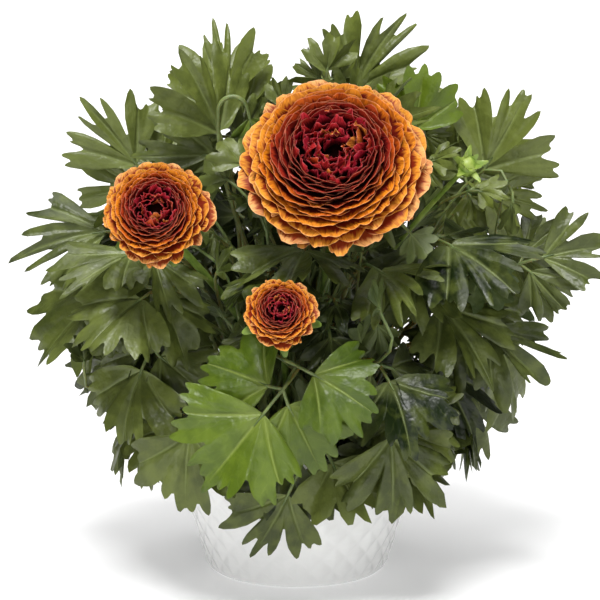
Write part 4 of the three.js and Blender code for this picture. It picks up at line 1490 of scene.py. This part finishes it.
def place_in_gap(middle, way, side, n):
    """Grows a small leaf across a line of sight that nothing else closes, if there is room."""
    start = Vector(middle - way * SIGHT_LENGTH / 2)
    if any(s.ray_cast(start, Vector(way), SIGHT_LENGTH)[0] for s in solids):
        return False
    for k in range(GAP_TRIES):
        draw = draws(n * 3.9 + k * 7.7, 2.1, 6)
        place = middle + way * (k // 2 + 0.5 + draw[0]) * (GAP_DEPTH if k % 2 else -GAP_DEPTH)
        normal = unit(-way + np.array(draw[1:4]) * 1.1)
        midrib = square(side * draw[4] * 3 + UP * 0.8 + unit(place - CANOPY_CENTRE) * 0.6, normal)
        if math.hypot(place[0], place[1]) > OUTWARD_PAST and midrib[:2] @ place[:2] < 0:
            midrib = -midrib
        size = 0.62 - 0.02 * k
        out = unit([place[0], place[1], 0])
        frond = {
            "root": (16 * out[0] + 24 * draw[5], 16 * out[1] + 24 * draw[1]),
            "fork": place - midrib * (MIDDLE_STALK + LEAFLET_LENGTH / 2) * size,
            "midrib": midrib,
            "normal": normal,
            "size": size,
            "kind": "broad" if draw[2] < 0 else "cut",
            "simple": True,
            "seed": 1500 + n,
            "droop": 0.2,
        }
        points, faces = coarse_blades(frond)
        places = np.array(points)
        if places[:, 2].min() < GAP_LOWEST_LEAF or hides_a_bloom(places):
            continue
        blades = BVHTree.FromPolygons(points, faces)
        if has_room(blades, frond):
            keep_small_leaf(frond, blades, n)
            return True
    return False


bundles = [Bundle() for _ in range(GROUPS)]
placed = 0
for n in range(TRIES):
    if placed == MOST_SMALL_LEAVES:
        break
    frond = rim_frond(n) if n < RIM_TRIES else filler_frond(n)
    points, faces = coarse_blades(frond)
    places = np.array(points)
    if places[:, 2].min() < LOWEST_LEAF or hides_a_bloom(places):
        continue
    if np.any((np.hypot(places[:, 0], places[:, 1]) < POT_ROOM) & (places[:, 2] < POT_HEIGHT + 4)):
        continue
    if n < RIM_TRIES and not over_the_rim(frond):
        continue
    if RIM_TRIES <= n < GAPS_UNTIL and not in_a_gap(places.mean(axis=0)):
        continue
    blades = BVHTree.FromPolygons(points, faces)
    if has_room(blades, frond):
        keep_small_leaf(frond, blades, n)
        placed += 1
# The gaps that still let light through are closed from six sides, the front and back first.
for view in (0, 180, 60, 240, 120, 300):
    turn = math.radians(view)
    way = unit([math.sin(turn), math.cos(turn), -LOOK_DOWN])
    side = unit(np.cross(way, UP))
    rise = np.cross(side, way)
    for i in range(-GAP_STEPS, GAP_STEPS + 1):
        for j in range(-GAP_STEPS, GAP_STEPS + 1):
            if math.hypot(i, j) > GAP_STEPS:
                continue
            middle = CANOPY_CENTRE + (side * i + rise * j) * GAP_STEP
            if place_in_gap(middle, way, side, placed):
                placed += 1
for group, bundle in enumerate(bundles):
    if bundle.points:
        piece = bundle.make(f"small_leaves_{group + 1:02d}", LEAF_MATERIALS)
        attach(piece, "root")
